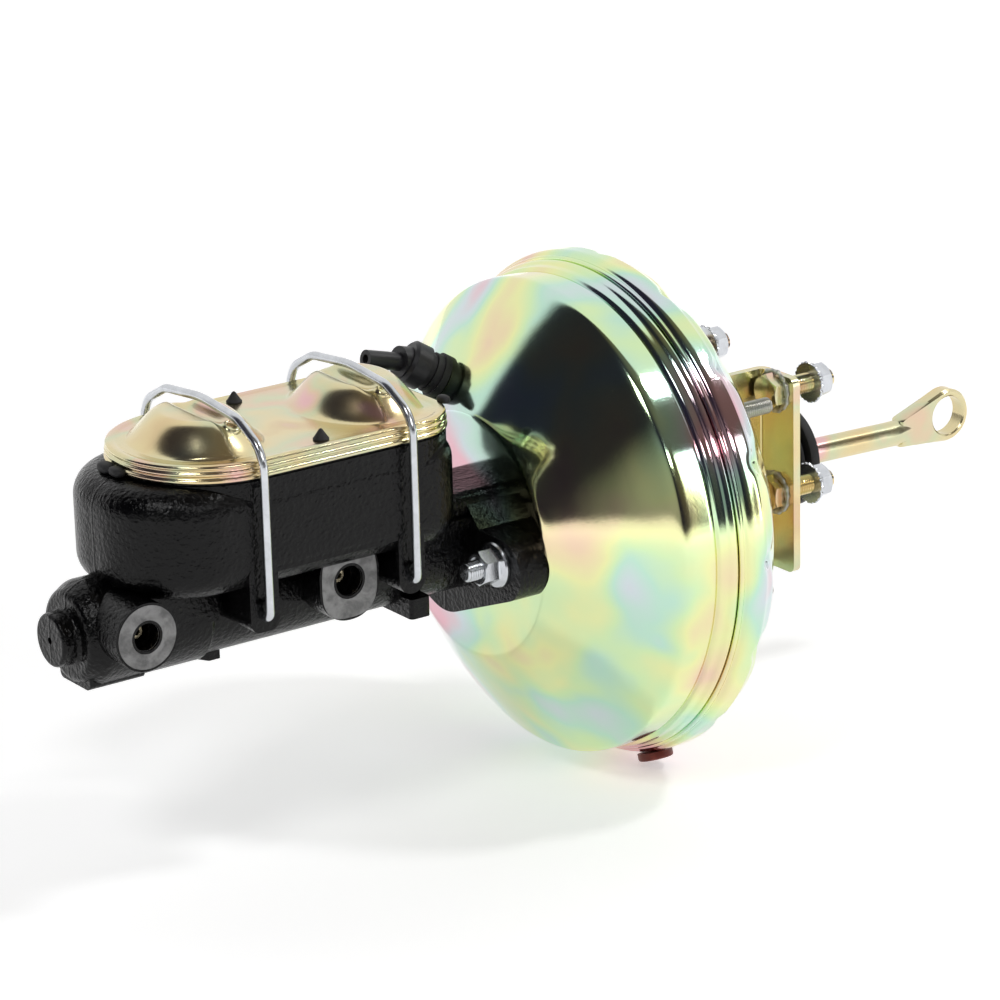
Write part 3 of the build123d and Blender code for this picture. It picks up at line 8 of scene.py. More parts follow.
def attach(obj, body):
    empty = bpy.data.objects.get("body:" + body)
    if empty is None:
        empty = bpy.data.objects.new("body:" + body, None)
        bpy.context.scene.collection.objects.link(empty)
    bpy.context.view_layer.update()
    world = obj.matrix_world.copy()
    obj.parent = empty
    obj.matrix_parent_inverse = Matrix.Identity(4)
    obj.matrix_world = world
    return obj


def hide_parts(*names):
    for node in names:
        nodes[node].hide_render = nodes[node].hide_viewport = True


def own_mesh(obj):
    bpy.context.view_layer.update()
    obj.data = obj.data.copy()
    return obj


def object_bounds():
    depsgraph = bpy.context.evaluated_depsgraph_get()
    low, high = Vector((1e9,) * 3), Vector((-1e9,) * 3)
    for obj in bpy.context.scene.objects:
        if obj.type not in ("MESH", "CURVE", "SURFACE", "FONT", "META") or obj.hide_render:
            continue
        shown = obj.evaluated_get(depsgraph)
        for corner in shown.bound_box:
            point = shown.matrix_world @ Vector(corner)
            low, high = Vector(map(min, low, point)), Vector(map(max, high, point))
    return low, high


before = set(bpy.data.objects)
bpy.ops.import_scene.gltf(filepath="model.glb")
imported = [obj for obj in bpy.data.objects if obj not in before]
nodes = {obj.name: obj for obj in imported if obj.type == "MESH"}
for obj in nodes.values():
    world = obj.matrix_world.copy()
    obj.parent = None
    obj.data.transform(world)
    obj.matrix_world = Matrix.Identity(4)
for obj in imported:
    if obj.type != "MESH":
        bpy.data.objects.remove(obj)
cadLow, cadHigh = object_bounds()
print("frame loaded", len(nodes), "nodes")
mm = 0.001


# Materials

# One output of a material node. Arithmetic on it adds Math nodes.
class Wire:
    def __init__(self, paint, output):
        self.paint = paint
        self.output = output

    def calc(self, operation, *others):
        return self.paint.add("ShaderNodeMath", {"operation": operation}, [self, *others])

    def __add__(self, other):
        return self.calc("ADD", other)

    def __sub__(self, other):
        return self.calc("SUBTRACT", other)

    def __mul__(self, other):
        return self.calc("MULTIPLY", other)

    def __rsub__(self, other):
        return (self * -1) + other

    __radd__ = __add__
    __rmul__ = __mul__

    # 0 below low, 1 above high and a smooth rise from one to the other.
    def between(self, low, high):
        settings = {"interpolation_type": "SMOOTHSTEP"}
        inputs = {"Value": self, "From Min": low, "From Max": high}
        return self.paint.add("ShaderNodeMapRange", settings, inputs)


# A node tree with short ways to add nodes to it.
class Tree:
    # Links a wire to a socket, or writes a plain value on it.
    def put(self, value, socket):
        if isinstance(value, Wire):
            self.tree.links.new(value.output, socket)
        elif hasattr(value, "__len__") and socket.type == "RGBA" and len(value) == 3:
            socket.default_value = (*value, 1.0)
        else:
            socket.default_value = value

    # Adds any node: its type, its settings, its inputs by name or number, and which output to use.
    def add(self, kind, settings=(), inputs=(), out=0):
        node = self.tree.nodes.new(kind)
        for key, value in dict(settings).items():
            setattr(node, key, value)
        pairs = inputs.items() if isinstance(inputs, dict) else enumerate(inputs)
        for key, value in pairs:
            self.put(value, node.inputs[key])
        return Wire(self, node.outputs[out])

    # first where share is 0, second where it is 1.
    def mix(self, share, first, second):
        return self.add("ShaderNodeMix", {"data_type": "RGBA"}, {0: share, 6: first, 7: second}, out=2)

    # Colours along a value: stops are (place, colour).
    def ramp(self, value, stops):
        wire = self.add("ShaderNodeValToRGB", {}, [value])
        scale = wire.output.node.color_ramp
        while len(scale.elements) < len(stops):
            scale.elements.new(0.5)
        for element, (place, colour) in zip(scale.elements, stops):
            element.position = place
            element.color = (*colour, 1.0)
        return wire


# A material with one Principled shader. Constants go on the shader's own sockets.
class Paint(Tree):
    def __init__(self, name, **constants):
        self.material = bpy.data.materials.new(name)
        self.material.use_nodes = True
        self.tree = self.material.node_tree
        self.tree.nodes.clear()
        self.shader = self.tree.nodes.new("ShaderNodeBsdfPrincipled")
        result = self.tree.nodes.new("ShaderNodeOutputMaterial")
        self.tree.links.new(self.shader.outputs[0], result.inputs["Surface"])
        for key, value in constants.items():
            self.put(value, self.shader.inputs[key.replace("_", " ")])
        self.place = self.add("ShaderNodeTexCoord", out=3)

    # Noise from 0 to 1; scale is in bumps per metre.
    def noise(self, scale, detail=3.0, rough=0.5, warp=0.0):
        values = {"Vector": self.place, "Scale": scale, "Detail": detail}
        values.update({"Roughness": rough, "Distortion": warp})
        return self.add("ShaderNodeTexNoise", {}, values)

    # Distance to the nearest of many scattered points.
    def cells(self, scale):
        return self.add("ShaderNodeTexVoronoi", {}, {"Vector": self.place, "Scale": scale})

    # One coordinate of the place in the frame, in metres.
    def axis(self, number):
        return self.add("ShaderNodeSeparateXYZ", {}, [self.place], out=number)

    # A normal from a height from 0 to 1 that is depth metres deep.
    def bump(self, height, depth, after=None):
        values = {"Height": height, "Distance": depth}
        if after is not None:
            values["Normal"] = after
        return self.add("ShaderNodeBump", {}, values)

    def set(self, **wires):
        for key, value in wires.items():
            self.put(value, self.shader.inputs[key.replace("_", " ")])
        return self.material


zincFilms = {
    "pastel": [
        (0.30, (0.76, 0.44, 0.46)),
        (0.38, (0.80, 0.66, 0.42)),
        (0.46, (0.78, 0.80, 0.40)),
        (0.53, (0.62, 0.80, 0.46)),
        (0.59, (0.50, 0.74, 0.60)),
        (0.66, (0.60, 0.68, 0.70)),
        (0.74, (0.78, 0.48, 0.54)),
    ],
    "gold": [
        (0.30, (0.70, 0.44, 0.42)),
        (0.38, (0.68, 0.52, 0.30)),
        (0.46, (0.72, 0.60, 0.34)),
        (0.54, (0.68, 0.61, 0.37)),
        (0.61, (0.60, 0.61, 0.40)),
        (0.68, (0.70, 0.54, 0.38)),
        (0.76, (0.74, 0.47, 0.46)),
    ],
}


# Yellow chromated zinc: its colour drifts through the film's stops in soft patches.
def yellowZinc(name, film, patch, gloss, grain):
    paint = Paint(name, Metallic=1.0)
    drift = paint.noise(patch, 1.0, 0.4, 0.25) * 0.86 + paint.noise(patch * 2.6, 1.0, 0.4, 0.3) * 0.14
    colour = paint.ramp(drift + 0.03, zincFilms[film])
    fine = paint.noise(700.0, 2.0, 0.6)
    rough = paint.noise(38.0, 3.0, 0.6) * 0.07 + gloss + (fine - 0.5) * 0.05
    waves = paint.noise(26.0, 2.0, 0.5)
    normal = paint.bump(fine, grain, paint.bump(waves, grain * 22.0))
    return paint.set(Base_Color=colour, Roughness=rough, Normal=normal)


# Black gloss paint over a sand cast skin: soft lumps and pits, and a parting line in the plane y = 0.
def castIron(name):
    paint = Paint(name, Specular_IOR_Level=0.2)
    lumps = paint.noise(520.0, 3.0, 0.55)
    pits = paint.cells(430.0)
    waves = paint.noise(75.0, 2.0, 0.5)
    across = paint.axis(1)
    seam = 1.0 - across.calc("ABSOLUTE").between(0.0003, 0.0010)
    height = lumps * 0.7 + pits * 0.3 + waves * 0.5 + seam * 0.5
    rough = paint.noise(90.0, 3.0, 0.6) * 0.16 + 0.12
    worn = paint.noise(160.0, 3.0, 0.6).between(0.4, 0.75)
    shade = paint.mix(worn, (0.0006, 0.0006, 0.0008), (0.002, 0.002, 0.0022))
    return paint.set(Base_Color=shade, Roughness=rough, Normal=paint.bump(height, 0.0007))


# Bare or zinc plated metal with blotches and fine grain.
def plainMetal(name, colour, gloss, spread=0.12, grain=0.00003, fine=1400.0, dip=0.88):
    paint = Paint(name, Metallic=1.0)
    blotch = paint.noise(140.0, 4.0, 0.6, 0.4)
    small = paint.noise(fine, 3.0, 0.6)
    shade = paint.mix(blotch.between(0.35, 0.7), colour, tuple(part * dip for part in colour))
    rough = blotch * spread + gloss + (small - 0.5) * 0.1
    return paint.set(Base_Color=shade, Roughness=rough, Normal=paint.bump(small, grain))


# Rubber or plastic: a dark ground with a little dust and a fine skin.
def rubber(name, colour, gloss=0.5):
    paint = Paint(name, Specular_IOR_Level=0.4)
    dust = paint.noise(180.0, 4.0, 0.65)
    skin = paint.noise(1500.0, 3.0, 0.6)
    shade = paint.mix(dust.between(0.45, 0.8), colour, tuple(min(1.0, part * 1.6 + 0.004) for part in colour))
    rough = dust * 0.2 + gloss
    return paint.set(Base_Color=shade, Roughness=rough, Normal=paint.bump(skin, 0.00004))


finishes = {
    "cast_iron_black": castIron("blackCasting"),
    "yellow_zinc": yellowZinc("goldZinc", "gold", 30.0, 0.17, 0.00002),
    "bright_zinc": plainMetal("brightZinc", (0.62, 0.64, 0.67), 0.16, 0.14),
    "plain_steel": plainMetal("plainSteel", (0.46, 0.45, 0.42), 0.30),
    "black_rubber": rubber("blackRubber", (0.010, 0.010, 0.011)),
    "red_rubber": rubber("redRubber", (0.13, 0.020, 0.012), 0.28),
    "black_plastic": rubber("blackPlastic", (0.012, 0.012, 0.014), 0.32),
    "brass": plainMetal("brass", (0.74, 0.64, 0.44), 0.2),
    "aluminium": plainMetal("aluminium", (0.78, 0.79, 0.80), 0.26),
    "foam": rubber("filterFoam", (0.03, 0.03, 0.032), 0.85),
}
shellZinc = yellowZinc("shellZinc", "pastel", 18.0, 0.06, 0.000006)
machined = plainMetal("machinedIron", (0.24, 0.24, 0.24), 0.42, 0.2, 0.00014, 700.0, 0.55)
for node in nodes.values():
    for slot in node.material_slots:
        slot.material = finishes[slot.material.name.split(".")[0]]
nodes["piston_stop_screw"].material_slots[0].material = finishes["cast_iron_black"]
print("materials made")


# Surfaces, worked out in millimetres

# Four-cornered faces of a grid whose columns close: each joins a point to the next row and column.
def gridFaces(rows, columns, closedRows=False):
    row = np.arange(rows if closedRows else rows - 1)[:, None]
    column = np.arange(columns)[None, :]
    below, beside = (row + 1) % rows, (column + 1) % columns
    corners = (row * columns + column, row * columns + beside, below * columns + beside,
               below * columns + column)
    return np.stack(np.broadcast_arrays(*corners), -1).reshape(-1, 4)


# A line through corners, rounded: each point is the average of the line, weighted by a bell of its width.
def softLine(corners, widths, step=0.6):
    corners = np.asarray(corners, float)
    runs = np.concatenate([[0.0], np.cumsum(np.hypot(*np.diff(corners, axis=0).T))])
    count = int(runs[-1] / step) + 2
    along = np.linspace(0.0, runs[-1], count)
    line = np.stack([np.interp(along, runs, corners[:, part]) for part in (0, 1)], -1)
    width = np.maximum(np.interp(along, runs, widths), 0.01)[:, None]
    weight = np.exp(-0.5 * ((along[:, None] - along[None, :]) / width) ** 2)
    return (weight / weight.sum(axis=1, keepdims=True)) @ line


# A closed outline of a sheet: the line, and back along it at the wall's distance to its right.
def sheetLoop(line, wall):
    slope = np.gradient(line, axis=0)
    slope /= np.hypot(*slope.T)[:, None]
    inner = line + np.stack([slope[:, 1], -slope[:, 0]], -1) * wall
    return np.concatenate([line, inner[::-1]])


# A sheet's loop with every fourth point, apart from its outside up to fineTo along the axis, which keeps all.
def thinned(line, wall, fineTo):
    order = np.arange(len(line))
    coarse = (order % 4 == 0) | (order == len(line) - 1)
    outer = coarse | (line[:, 0] < fineTo)
    return sheetLoop(line, wall)[np.concatenate([outer, coarse[::-1]])]


# Three square directions, the first along way.
def basis(way):
    first = np.asarray(way, float) / np.linalg.norm(way)
    helper = np.array([0.0, 0.0, 1.0]) if abs(first[2]) < 0.9 else np.array([1.0, 0.0, 0.0])
    second = np.cross(helper, first)
    second /= np.linalg.norm(second)
    return np.stack([first, second, np.cross(first, second)])


# Points and faces of a turned form: spot plus along times way plus radius times the circle's directions.
# along and radius are one value a row, or one value a row and column.
def turn(along, radius, spot=(0, 0, 0), way=(1, 0, 0), closedRows=True, columns=96):
    angle = np.arange(columns) * 2 * math.pi / columns
    along = np.broadcast_to(np.atleast_2d(along) if np.ndim(along) == 2 else np.reshape(along, (-1, 1)),
                            (len(along), columns))
    radius = np.broadcast_to(radius if np.ndim(radius) == 2 else np.reshape(radius, (-1, 1)), along.shape)
    axes = basis(way)
    circle = np.cos(angle)[:, None] * axes[1] + np.sin(angle)[:, None] * axes[2]
    points = np.asarray(spot, float) + along[..., None] * axes[0] + radius[..., None] * circle
    return points.reshape(-1, 3), gridFaces(len(along), columns, closedRows)


# Several shapes' points and faces as one.
def joined(shapes):
    points = np.concatenate([shape[0] for shape in shapes])
    starts = np.cumsum([0] + [len(shape[0]) for shape in shapes[:-1]])
    return points, np.concatenate([shape[1] + start for shape, start in zip(shapes, starts)])


# A piece of the object from points and faces, closed at its poles, that rides on a body.
def addPiece(name, shape, slot, body="housing", paint=None, sharp=40.0):
    points, faces = shape
    mesh = bpy.data.meshes.new(name)
    mesh.from_pydata((points * mm).tolist(), [], faces.tolist())
    work = bmesh.new()
    work.from_mesh(mesh)
    bmesh.ops.remove_doubles(work, verts=work.verts, dist=0.000002)
    bmesh.ops.recalc_face_normals(work, faces=work.faces)
    work.to_mesh(mesh)
    work.free()
    mesh.polygons.foreach_set("use_smooth", np.ones(len(mesh.polygons), bool))
    mesh.set_sharp_from_angle(angle=math.radians(sharp))
    mesh.materials.append(paint or finishes[slot])
    thing = bpy.data.objects.new(name, mesh)
    bpy.context.scene.collection.objects.link(thing)
    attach(thing, body)
    return thing


# Shells, each a turned sheet
frontShellValues = {
    "wall": 1.7,
    "columns": 288,
    "fineTo": 0.0,
    "corners": [(-154.5, 21.6), (-154.5, 24.0), (-154.5, 59.3), (-141.5, 79.3), (-128.5, 97.4),
                (-114.56, 114.5), (-98.4, 114.5), (-97.3, 113.9), (-96.3, 115.9), (-92.6, 116.5),
                (-91.7, 117.6), (-89.6, 118.4), (-88.3, 118.2), (-88.25, 117.2)],
    "widths": [0.01, 0.5, 1.4, 6.0, 6.0, 2.0, 0.6, 0.35, 0.4, 0.45, 0.45, 0.45, 0.25, 0.01],
}
rearShellValues = {
    "wall": 1.7,
    "columns": 560,
    "fineTo": -62.0,                      # rows are fine up to here, where the pockets end
    "notches": 16,
    "notchRadius": 118.0,
    "most": 121.98,                       # radius that nothing passes
    "corners": [(-87.9, 117.4), (-87.85, 119.2), (-86.6, 120.0), (-85.4, 119.4), (-84.2, 121.2),
                (-82.2, 121.95), (-74.83, 121.95), (-52.5, 99.98), (-52.5, 26.0), (-52.5, 22.5),
                (-37.6, 22.5)],
    "widths": [0.01, 0.3, 0.4, 0.4, 0.5, 0.6, 1.1, 2.4, 1.4, 1.4, 0.01],
    "pocket": (3.2, 3.4, -72.2, 3.0),     # depth, half width around, middle and half width along the axis
    "lobe": (3.0, 9.0, -66.5, 5.2),       # height, half width around, middle and half width along the axis
}

values = frontShellValues
line = softLine(values["corners"], values["widths"])
loop = thinned(line, values["wall"], values["fineTo"])
skin = turn(loop[:, 0], loop[:, 1], columns=values["columns"])
frontShell = addPiece("frontShellSkin", skin, "yellow_zinc", paint=shellZinc, sharp=60.0)
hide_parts("front_shell")

# radius = outline - pocket depth * bell around the notch * bell along the axis
#          + lobe height * (1 - bell around the notch) * bell along the axis
values = rearShellValues
line = softLine(values["corners"], values["widths"])
loop = thinned(line, values["wall"], values["fineTo"])
angle = np.arange(values["columns"]) * 2 * math.pi / values["columns"]
pitch = 2 * math.pi / values["notches"]
around = ((angle + pitch / 2) % pitch - pitch / 2) * values["notchRadius"]
depth, across, middle, reach = values["pocket"]
pocket = depth * np.exp(-(around / across) ** 2) * np.exp(-((loop[:, :1] - middle) / reach) ** 2)
height, across, middle, reach = values["lobe"]
lobe = height * (1 - np.exp(-(around / across) ** 2)) * np.exp(-((loop[:, :1] - middle) / reach) ** 2)
radius = np.minimum(loop[:, 1:] - pocket + lobe, values["most"])
skin = turn(loop[:, 0], radius, columns=values["columns"])
rearShell = addPiece("rearShellSkin", skin, "yellow_zinc", paint=shellZinc, sharp=60.0)
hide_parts("rear_shell")
print("shells made")

# Reservoir lid, a sheet whose rings follow its plan at growing insets and then close on the middle line
lidValues = {
    "front": -340.0,
    "rear": -184.5,
    "halfWidth": 46.5,
    "corners": (45.5, 26.0),              # corner radii in front and at the rear
    "arc": 63,                            # points in each corner, and in each straight side
    "rim": [(1.6, 69.4), (0.15, 69.35), (0.0, 70.7), (0.95, 71.5), (1.0, 72.1), (0.3, 72.8),
            (0.25, 73.8), (1.05, 74.5), (1.15, 75.1), (0.55, 75.9), (1.0, 77.0), (2.3, 77.5),
            (4.2, 77.3), (5.8, 76.7), (9.0, 76.6), (10.0, 76.6)],
    "rings": 61,                          # from the rim in to the middle line
    "lipInset": 1.7,
    "coreIn": 4.0,                        # the middle line ends this far inside the domes' middles
    "flat": 76.6,
    "wall": 1.3,
    "domes": (-300.5, -215.5),
    "domeSize": (29.0, 37.5),
    "domeHeight": 13.6,
    "steep": 0.52,                        # share of a dome's radius that is slope
    "bails": (-296.5, -218.0),
    "groove": (4.6, 5.2, 20.0),           # depth, half width along the axis and length to each side
}


# The lid's plan at an inset: corner middles plus the corner radius less the inset, with straight runs
# between.
def lidRing(inset):
    share = np.linspace(0, 1, lidValues["arc"])
    front, rear = lidValues["corners"]
    places = [(lidValues["front"] + front, -lidValues["halfWidth"] + front, front, 180.0),
              (lidValues["rear"] - rear, -lidValues["halfWidth"] + rear, rear, 270.0),
              (lidValues["rear"] - rear, lidValues["halfWidth"] - rear, rear, 0.0),
              (lidValues["front"] + front, lidValues["halfWidth"] - front, front, 90.0)]
    arcs = []
    for x, y, corner, start in places:
        angle = np.radians(start + 90 * share)
        radius = corner - inset
        arcs.append(np.stack([x + radius * np.cos(angle), y + radius * np.sin(angle)], -1))
    runs = []
    for arc, after in zip(arcs, arcs[1:] + arcs[:1]):
        straight = arc[-1] + (after[0] - arc[-1]) * share[1:-1, None]
        runs += [arc, straight]
    return np.concatenate(runs)


# Two domes with soft feet: dome height * smooth step of (1 - ellipse distance), less the bail's groove.
def lidHeight(x, y):
    lengthHalf, widthHalf = lidValues["domeSize"]
    depth, along, reach = lidValues["groove"]
    total = np.zeros_like(x)
    for middle, wire in zip(lidValues["domes"], lidValues["bails"]):
        distance = np.hypot((x - middle) / lengthHalf, y / widthHalf)
        rise = np.clip((1 - distance) / lidValues["steep"], 0, 1)
        dome = lidValues["domeHeight"] * (rise * rise * (3 - 2 * rise)) ** 0.8
        groove = depth * np.exp(-((x - wire) / along) ** 4) * np.exp(-(y / reach) ** 4)
        total += np.maximum(dome - groove, 0.75 * dome * (dome < depth))
    return total


values = lidValues
rim = softLine(values["rim"], [0.01, 0.2] + [0.28] * (len(values["rim"]) - 3) + [0.01], 0.3)
last = lidRing(values["rim"][-1][0])
rings = [np.column_stack([lidRing(inset), np.full(len(last), z)]) for inset, z in rim]
coreFront, coreRear = values["domes"][0] + values["coreIn"], values["domes"][1] - values["coreIn"]
core = np.column_stack([np.clip(last[:, 0], coreFront, coreRear), np.zeros(len(last))])
inside = []
for share in np.linspace(0, 1, values["rings"] + 1)[1:]:
    plan = last + (core - last) * share
    inside.append(np.column_stack([plan, values["flat"] + lidHeight(plan[:, 0], plan[:, 1])]))
top = np.stack(rings + inside)
underside = np.full(len(last), values["flat"] - values["wall"])
lip = np.column_stack([lidRing(values["lipInset"]), underside])
below = [rings[0], lip, np.column_stack([last, underside])]
below += [ring - (0, 0, values["wall"]) for ring in inside]
below = np.stack(below)
count = top.shape[1]
upper = (top.reshape(-1, 3), gridFaces(len(top), count))
lower = (below.reshape(-1, 3), gridFaces(len(below), count)[:, ::-1])
lid = addPiece("lidPressing", joined([upper, lower]), "yellow_zinc", sharp=70.0)
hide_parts("reservoir_lid")

# Vent bosses on the near flanks of the domes, and the gasket's nubs and tabs
ventValues = {
    "spots": [(-295.7, -23.2), (-214.8, -23.2)],
    "way": (0.0, -0.50, 0.87),
    "outline": [(-3.0, 4.9), (-0.5, 4.6), (0.7, 3.9), (1.25, 3.3), (1.25, 2.7), (0.6, 2.1), (-0.8, 1.9),
                (-0.8, 0.0), (-3.0, 0.0)],
}
shapes = []
for x, y in ventValues["spots"]:
    z = values["flat"] + float(lidHeight(np.array([x]), np.array([y]))[0])
    outline = np.array(ventValues["outline"])
    shapes.append(turn(outline[:, 0], outline[:, 1], (x, y, z), ventValues["way"], columns=48))
addPiece("ventBosses", joined(shapes), "yellow_zinc", sharp=50.0)
nubValues = {
    "spots": [(-257.5, -36.0), (-257.5, 36.0)],
    "outline": [(-0.5, 0.0), (-0.5, 3.6), (0.6, 3.7), (1.0, 3.3), (2.6, 2.2), (4.6, 0.9), (5.0, 0.4),
                (5.1, 0.0)],
    "squareness": 0.75,                   # of the tabs, where 1 is a ball
    "tabs": [((-341.4, 8.6, 69.9), (3.4, 5.2, 2.4)), ((-341.4, -0.6, 70.2), (3.0, 4.6, 2.2)),
             ((-184.6, -26.0, 78.2), (2.4, 3.6, 1.9))],
}
outline = np.array(nubValues["outline"])
shapes = [turn(outline[:, 0], outline[:, 1], (x, y, values["flat"]), (0, 0, 1), columns=24)
          for x, y in nubValues["spots"]]
tilt = np.linspace(-math.pi / 2, math.pi / 2, 13)
for spot, size in nubValues["tabs"]:
    ball = turn(np.sin(tilt), np.cos(tilt), (0, 0, 0), (0, 0, 1), False, 32)
    shapes.append((np.sign(ball[0]) * np.abs(ball[0]) ** nubValues["squareness"] * size + spot, ball[1]))
addPiece("gasketNubs", joined(shapes), "black_rubber")
print("lid made")


# Threaded studs and bolts, and their nuts
# Radius of a hexagon at an angle: half its width across flats over the cosine from the nearest flat.
def hexRadius(angle, flats):
    return flats / 2 / np.cos((angle + math.pi / 6) % (math.pi / 3) - math.pi / 6)


# A rod with a thread from start on: radius less depth * a triangle wave of along / pitch - angle / full turn.
def threadedRod(spot, way, length, radius, pitch, start, depth=0.62):
    columns = 28
    turns = np.arange(start, length, pitch / 8)
    along = np.concatenate([[0.0, 0.0], np.linspace(0, start, 4), turns, [length, length]])
    angle = np.arange(columns) / columns
    phase = (along[:, None] / pitch - angle) % 1
    wave = np.abs(2 * phase - 1)
    fade = np.clip((along - start) / pitch, 0, 1)[:, None]
    tip = np.clip((length - along) / 1.2, 0, 1)[:, None]
    rows = (radius - depth * wave * fade) * (0.82 + 0.18 * tip)
    rows[0] = 0
    rows[-1] = 0
    return turn(along, rows, spot, way, False, columns)


# A hexagon nut on a flange, with a chamfered top and, where it has teeth, a notched flange.
def flangeNut(spot, way, flats, flange, height, bore, teeth=0):
    columns = 96
    angle = np.arange(columns) * 2 * math.pi / columns
    corner = hexRadius(angle, flats)
    notch = 0.3 * np.sign(np.cos(angle * teeth)) if teeth else 0.0 * angle
    ones = np.ones(columns)
    rounded = np.minimum(corner, flats * 0.49)
    rows = [
        (0 * ones, bore * ones),
        (0 * ones, flange - 0.5 + notch),
        (0.3 * ones, flange - 0.3 + notch),
        (0.12 * height * ones, flange - 0.3 + notch),
        (0.2 * height * ones, flange - 0.8 + notch * 0.5),
        (0.3 * height * ones, corner + 0.35),
        (0.36 * height * ones, corner),
        (height - (corner - rounded) * 0.8 - 0.1, corner),
        (height * ones, rounded - 0.15),
        (height * ones, (bore + 0.9) * ones),
        (height - 0.9 * ones, bore * ones),
    ]
    along, radius = np.moveaxis(np.array(rows), 1, 0)
    return turn(along, radius, spot, way, True, columns)


# A chamfered hexagon head that closes at its middle.
def hexHead(spot, way, flats, height):
    columns = 96
    corner = hexRadius(np.arange(columns) * 2 * math.pi / columns, flats)
    rounded = np.minimum(corner, flats * 0.485)
    ones = np.ones(columns)
    rows = [(0 * ones, 0 * ones), (0 * ones, corner), (height - (corner - rounded) * 0.8, corner),
            (height * ones, rounded - 0.2), (height * ones, 0 * ones)]
    along, radius = np.moveaxis(np.array(rows), 1, 0)
    return turn(along, radius, spot, way, False, columns)


fastenerValues = {
    "cylinder": [(42.86 * side, 0.0) for side in (-1, 1)],
    "rear": [(47.0 * side, 46.0 * level) for side in (-1, 1) for level in (-1, 1)],
    "firewall": [(40.0 * side, 24.2 + 25.4 * level) for side in (-1, 1) for level in (-1, 1)],
}
places = fastenerValues["cylinder"]
shapes = [threadedRod((-149.4, y, z), (-1, 0, 0), 38.2, 4.74, 1.27, 24.0) for y, z in places]
piece = addPiece("cylinderStuds", joined(shapes), "bright_zinc")
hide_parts("cylinder_studs")
shapes = [flangeNut((-169.5, y, z), (-1, 0, 0), 14.6, 11.0, 11.0, 4.8) for y, z in places]
piece = addPiece("cylinderNuts", joined(shapes), "bright_zinc", sharp=25.0)
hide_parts("cylinder_nuts")
places = fastenerValues["rear"]
shapes = [threadedRod((-60.0, y, z), (1, 0, 0), 46.8, 3.98, 1.25, 11.0, 0.55) for y, z in places]
piece = addPiece("rearStuds", joined(shapes), "plain_steel")
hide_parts("rear_studs")
shapes = [flangeNut((-48.5, y, z), (1, 0, 0), 13.0, 8.6, 8.0, 4.05) for y, z in places]
piece = addPiece("rearStudNuts", joined(shapes), "bright_zinc", sharp=25.0)
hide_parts("rear_stud_nuts")
places = fastenerValues["firewall"]
shapes = []
for y, z in places:
    shapes.append(threadedRod((-4.0, y, z), (1, 0, 0), 33.4, 4.9, 1.5, 4.6, 1.0))
    shapes.append(hexHead((-4.0, y, z), (-1, 0, 0), 16.0, 6.4))
piece = addPiece("firewallBolts", joined(shapes), "plain_steel", paint=finishes["yellow_zinc"], sharp=35.0)
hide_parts("firewall_bolts")
shapes = [flangeNut((16.3, y, z), (1, 0, 0), 14.6, 10.2, 9.5, 4.85, 24) for y, z in places]
piece = addPiece("firewallNuts", joined(shapes), "bright_zinc", sharp=25.0)
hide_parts("firewall_nuts")

# Weld beads round the bolt heads: a ring whose radius and place waver with the angle
weldValues = {"ring": 9.3, "bead": 1.5, "waver": 0.35, "x": -4.2}
angle = np.arange(96) * 2 * math.pi / 96
section = np.linspace(0, 2 * math.pi, 13)[:-1]
waver = 1 + weldValues["waver"] * np.sin(11 * angle) * np.cos(4 * angle + 1)
beadAlong = weldValues["bead"] * 0.7 * np.cos(section)[:, None] * waver
beadOut = weldValues["ring"] + weldValues["bead"] * np.sin(section)[:, None] * waver
shapes = [turn(beadAlong, beadOut, (weldValues["x"], y, z), (-1, 0, 0)) for y, z in places]
addPiece("weldBeads", joined(shapes), "plain_steel")
print("fasteners made")

# Machined faces and chamfers of the two outlet ports
portValues = [
    {"spot": (-351.9, 5.9), "half": (14.6, 14.6), "square": 2.0, "bore": 6.45},
    {"spot": (-246.3, 8.0), "half": (14.7, 17.3), "square": 2.9, "bore": 7.1},
]
shapes = []
for port in portValues:
    angle = np.arange(96) * 2 * math.pi / 96
    power = 2 / port["square"]
    wide = port["half"][0] * np.sign(np.cos(angle)) * np.abs(np.cos(angle)) ** power
    tall = port["half"][1] * np.sign(np.sin(angle)) * np.abs(np.sin(angle)) ** power
    rows = []
    for share, ring, y in ((1.0, 0.0, -37.2), (1.0, 0.0, -37.62), (0.0, 1.35, -37.62),
                           (0.0, -0.05, -36.2), (0.0, 1.2, -36.2)):
        bore = port["bore"] + ring
        x = port["spot"][0] + share * wide + (1 - share) * bore * np.cos(angle)
        z = port["spot"][1] + share * tall + (1 - share) * bore * np.sin(angle)
        rows.append(np.stack([x, np.full(96, y), z], -1))
    rows = np.stack(rows)
    shapes.append((rows.reshape(-1, 3), gridFaces(len(rows), 96, True)))
addPiece("portFaces", joined(shapes), "cast_iron_black", paint=machined)

# Boot: radius = valley + (peak - valley) * |sine of the fold's phase| to a power, with a cuff and an end disc
bootValues = {
    "start": -35.6,
    "end": 30.0,
    "folds": 10,
    "peak": 24.3,
    "valley": 19.4,
    "sharpness": 0.75,
    "wall": 1.2,
    "cuff": [(-45.4, 22.7), (-45.4, 24.2), (-44.6, 24.7), (-43.8, 24.2), (-38.0, 24.1), (-36.6, 23.2)],
    "disc": [(30.4, 22.8), (30.9, 25.2), (31.8, 25.6), (35.4, 25.6), (36.0, 25.0), (36.05, 11.5)],
    "discInside": [(34.0, 11.5), (31.2, 18.0)],
    "cuffInside": [(-38.0, 22.7)],
    "anchor": -0.0375,                    # metres, where the cuff holds it
    "keep": 0.538,
}
values = bootValues
along = np.linspace(values["start"], values["end"], 241)
phase = (along - values["start"]) / (values["end"] - values["start"]) * values["folds"]
fold = np.abs(np.sin(math.pi * phase)) ** values["sharpness"]
radius = values["valley"] + (values["peak"] - values["valley"]) * fold
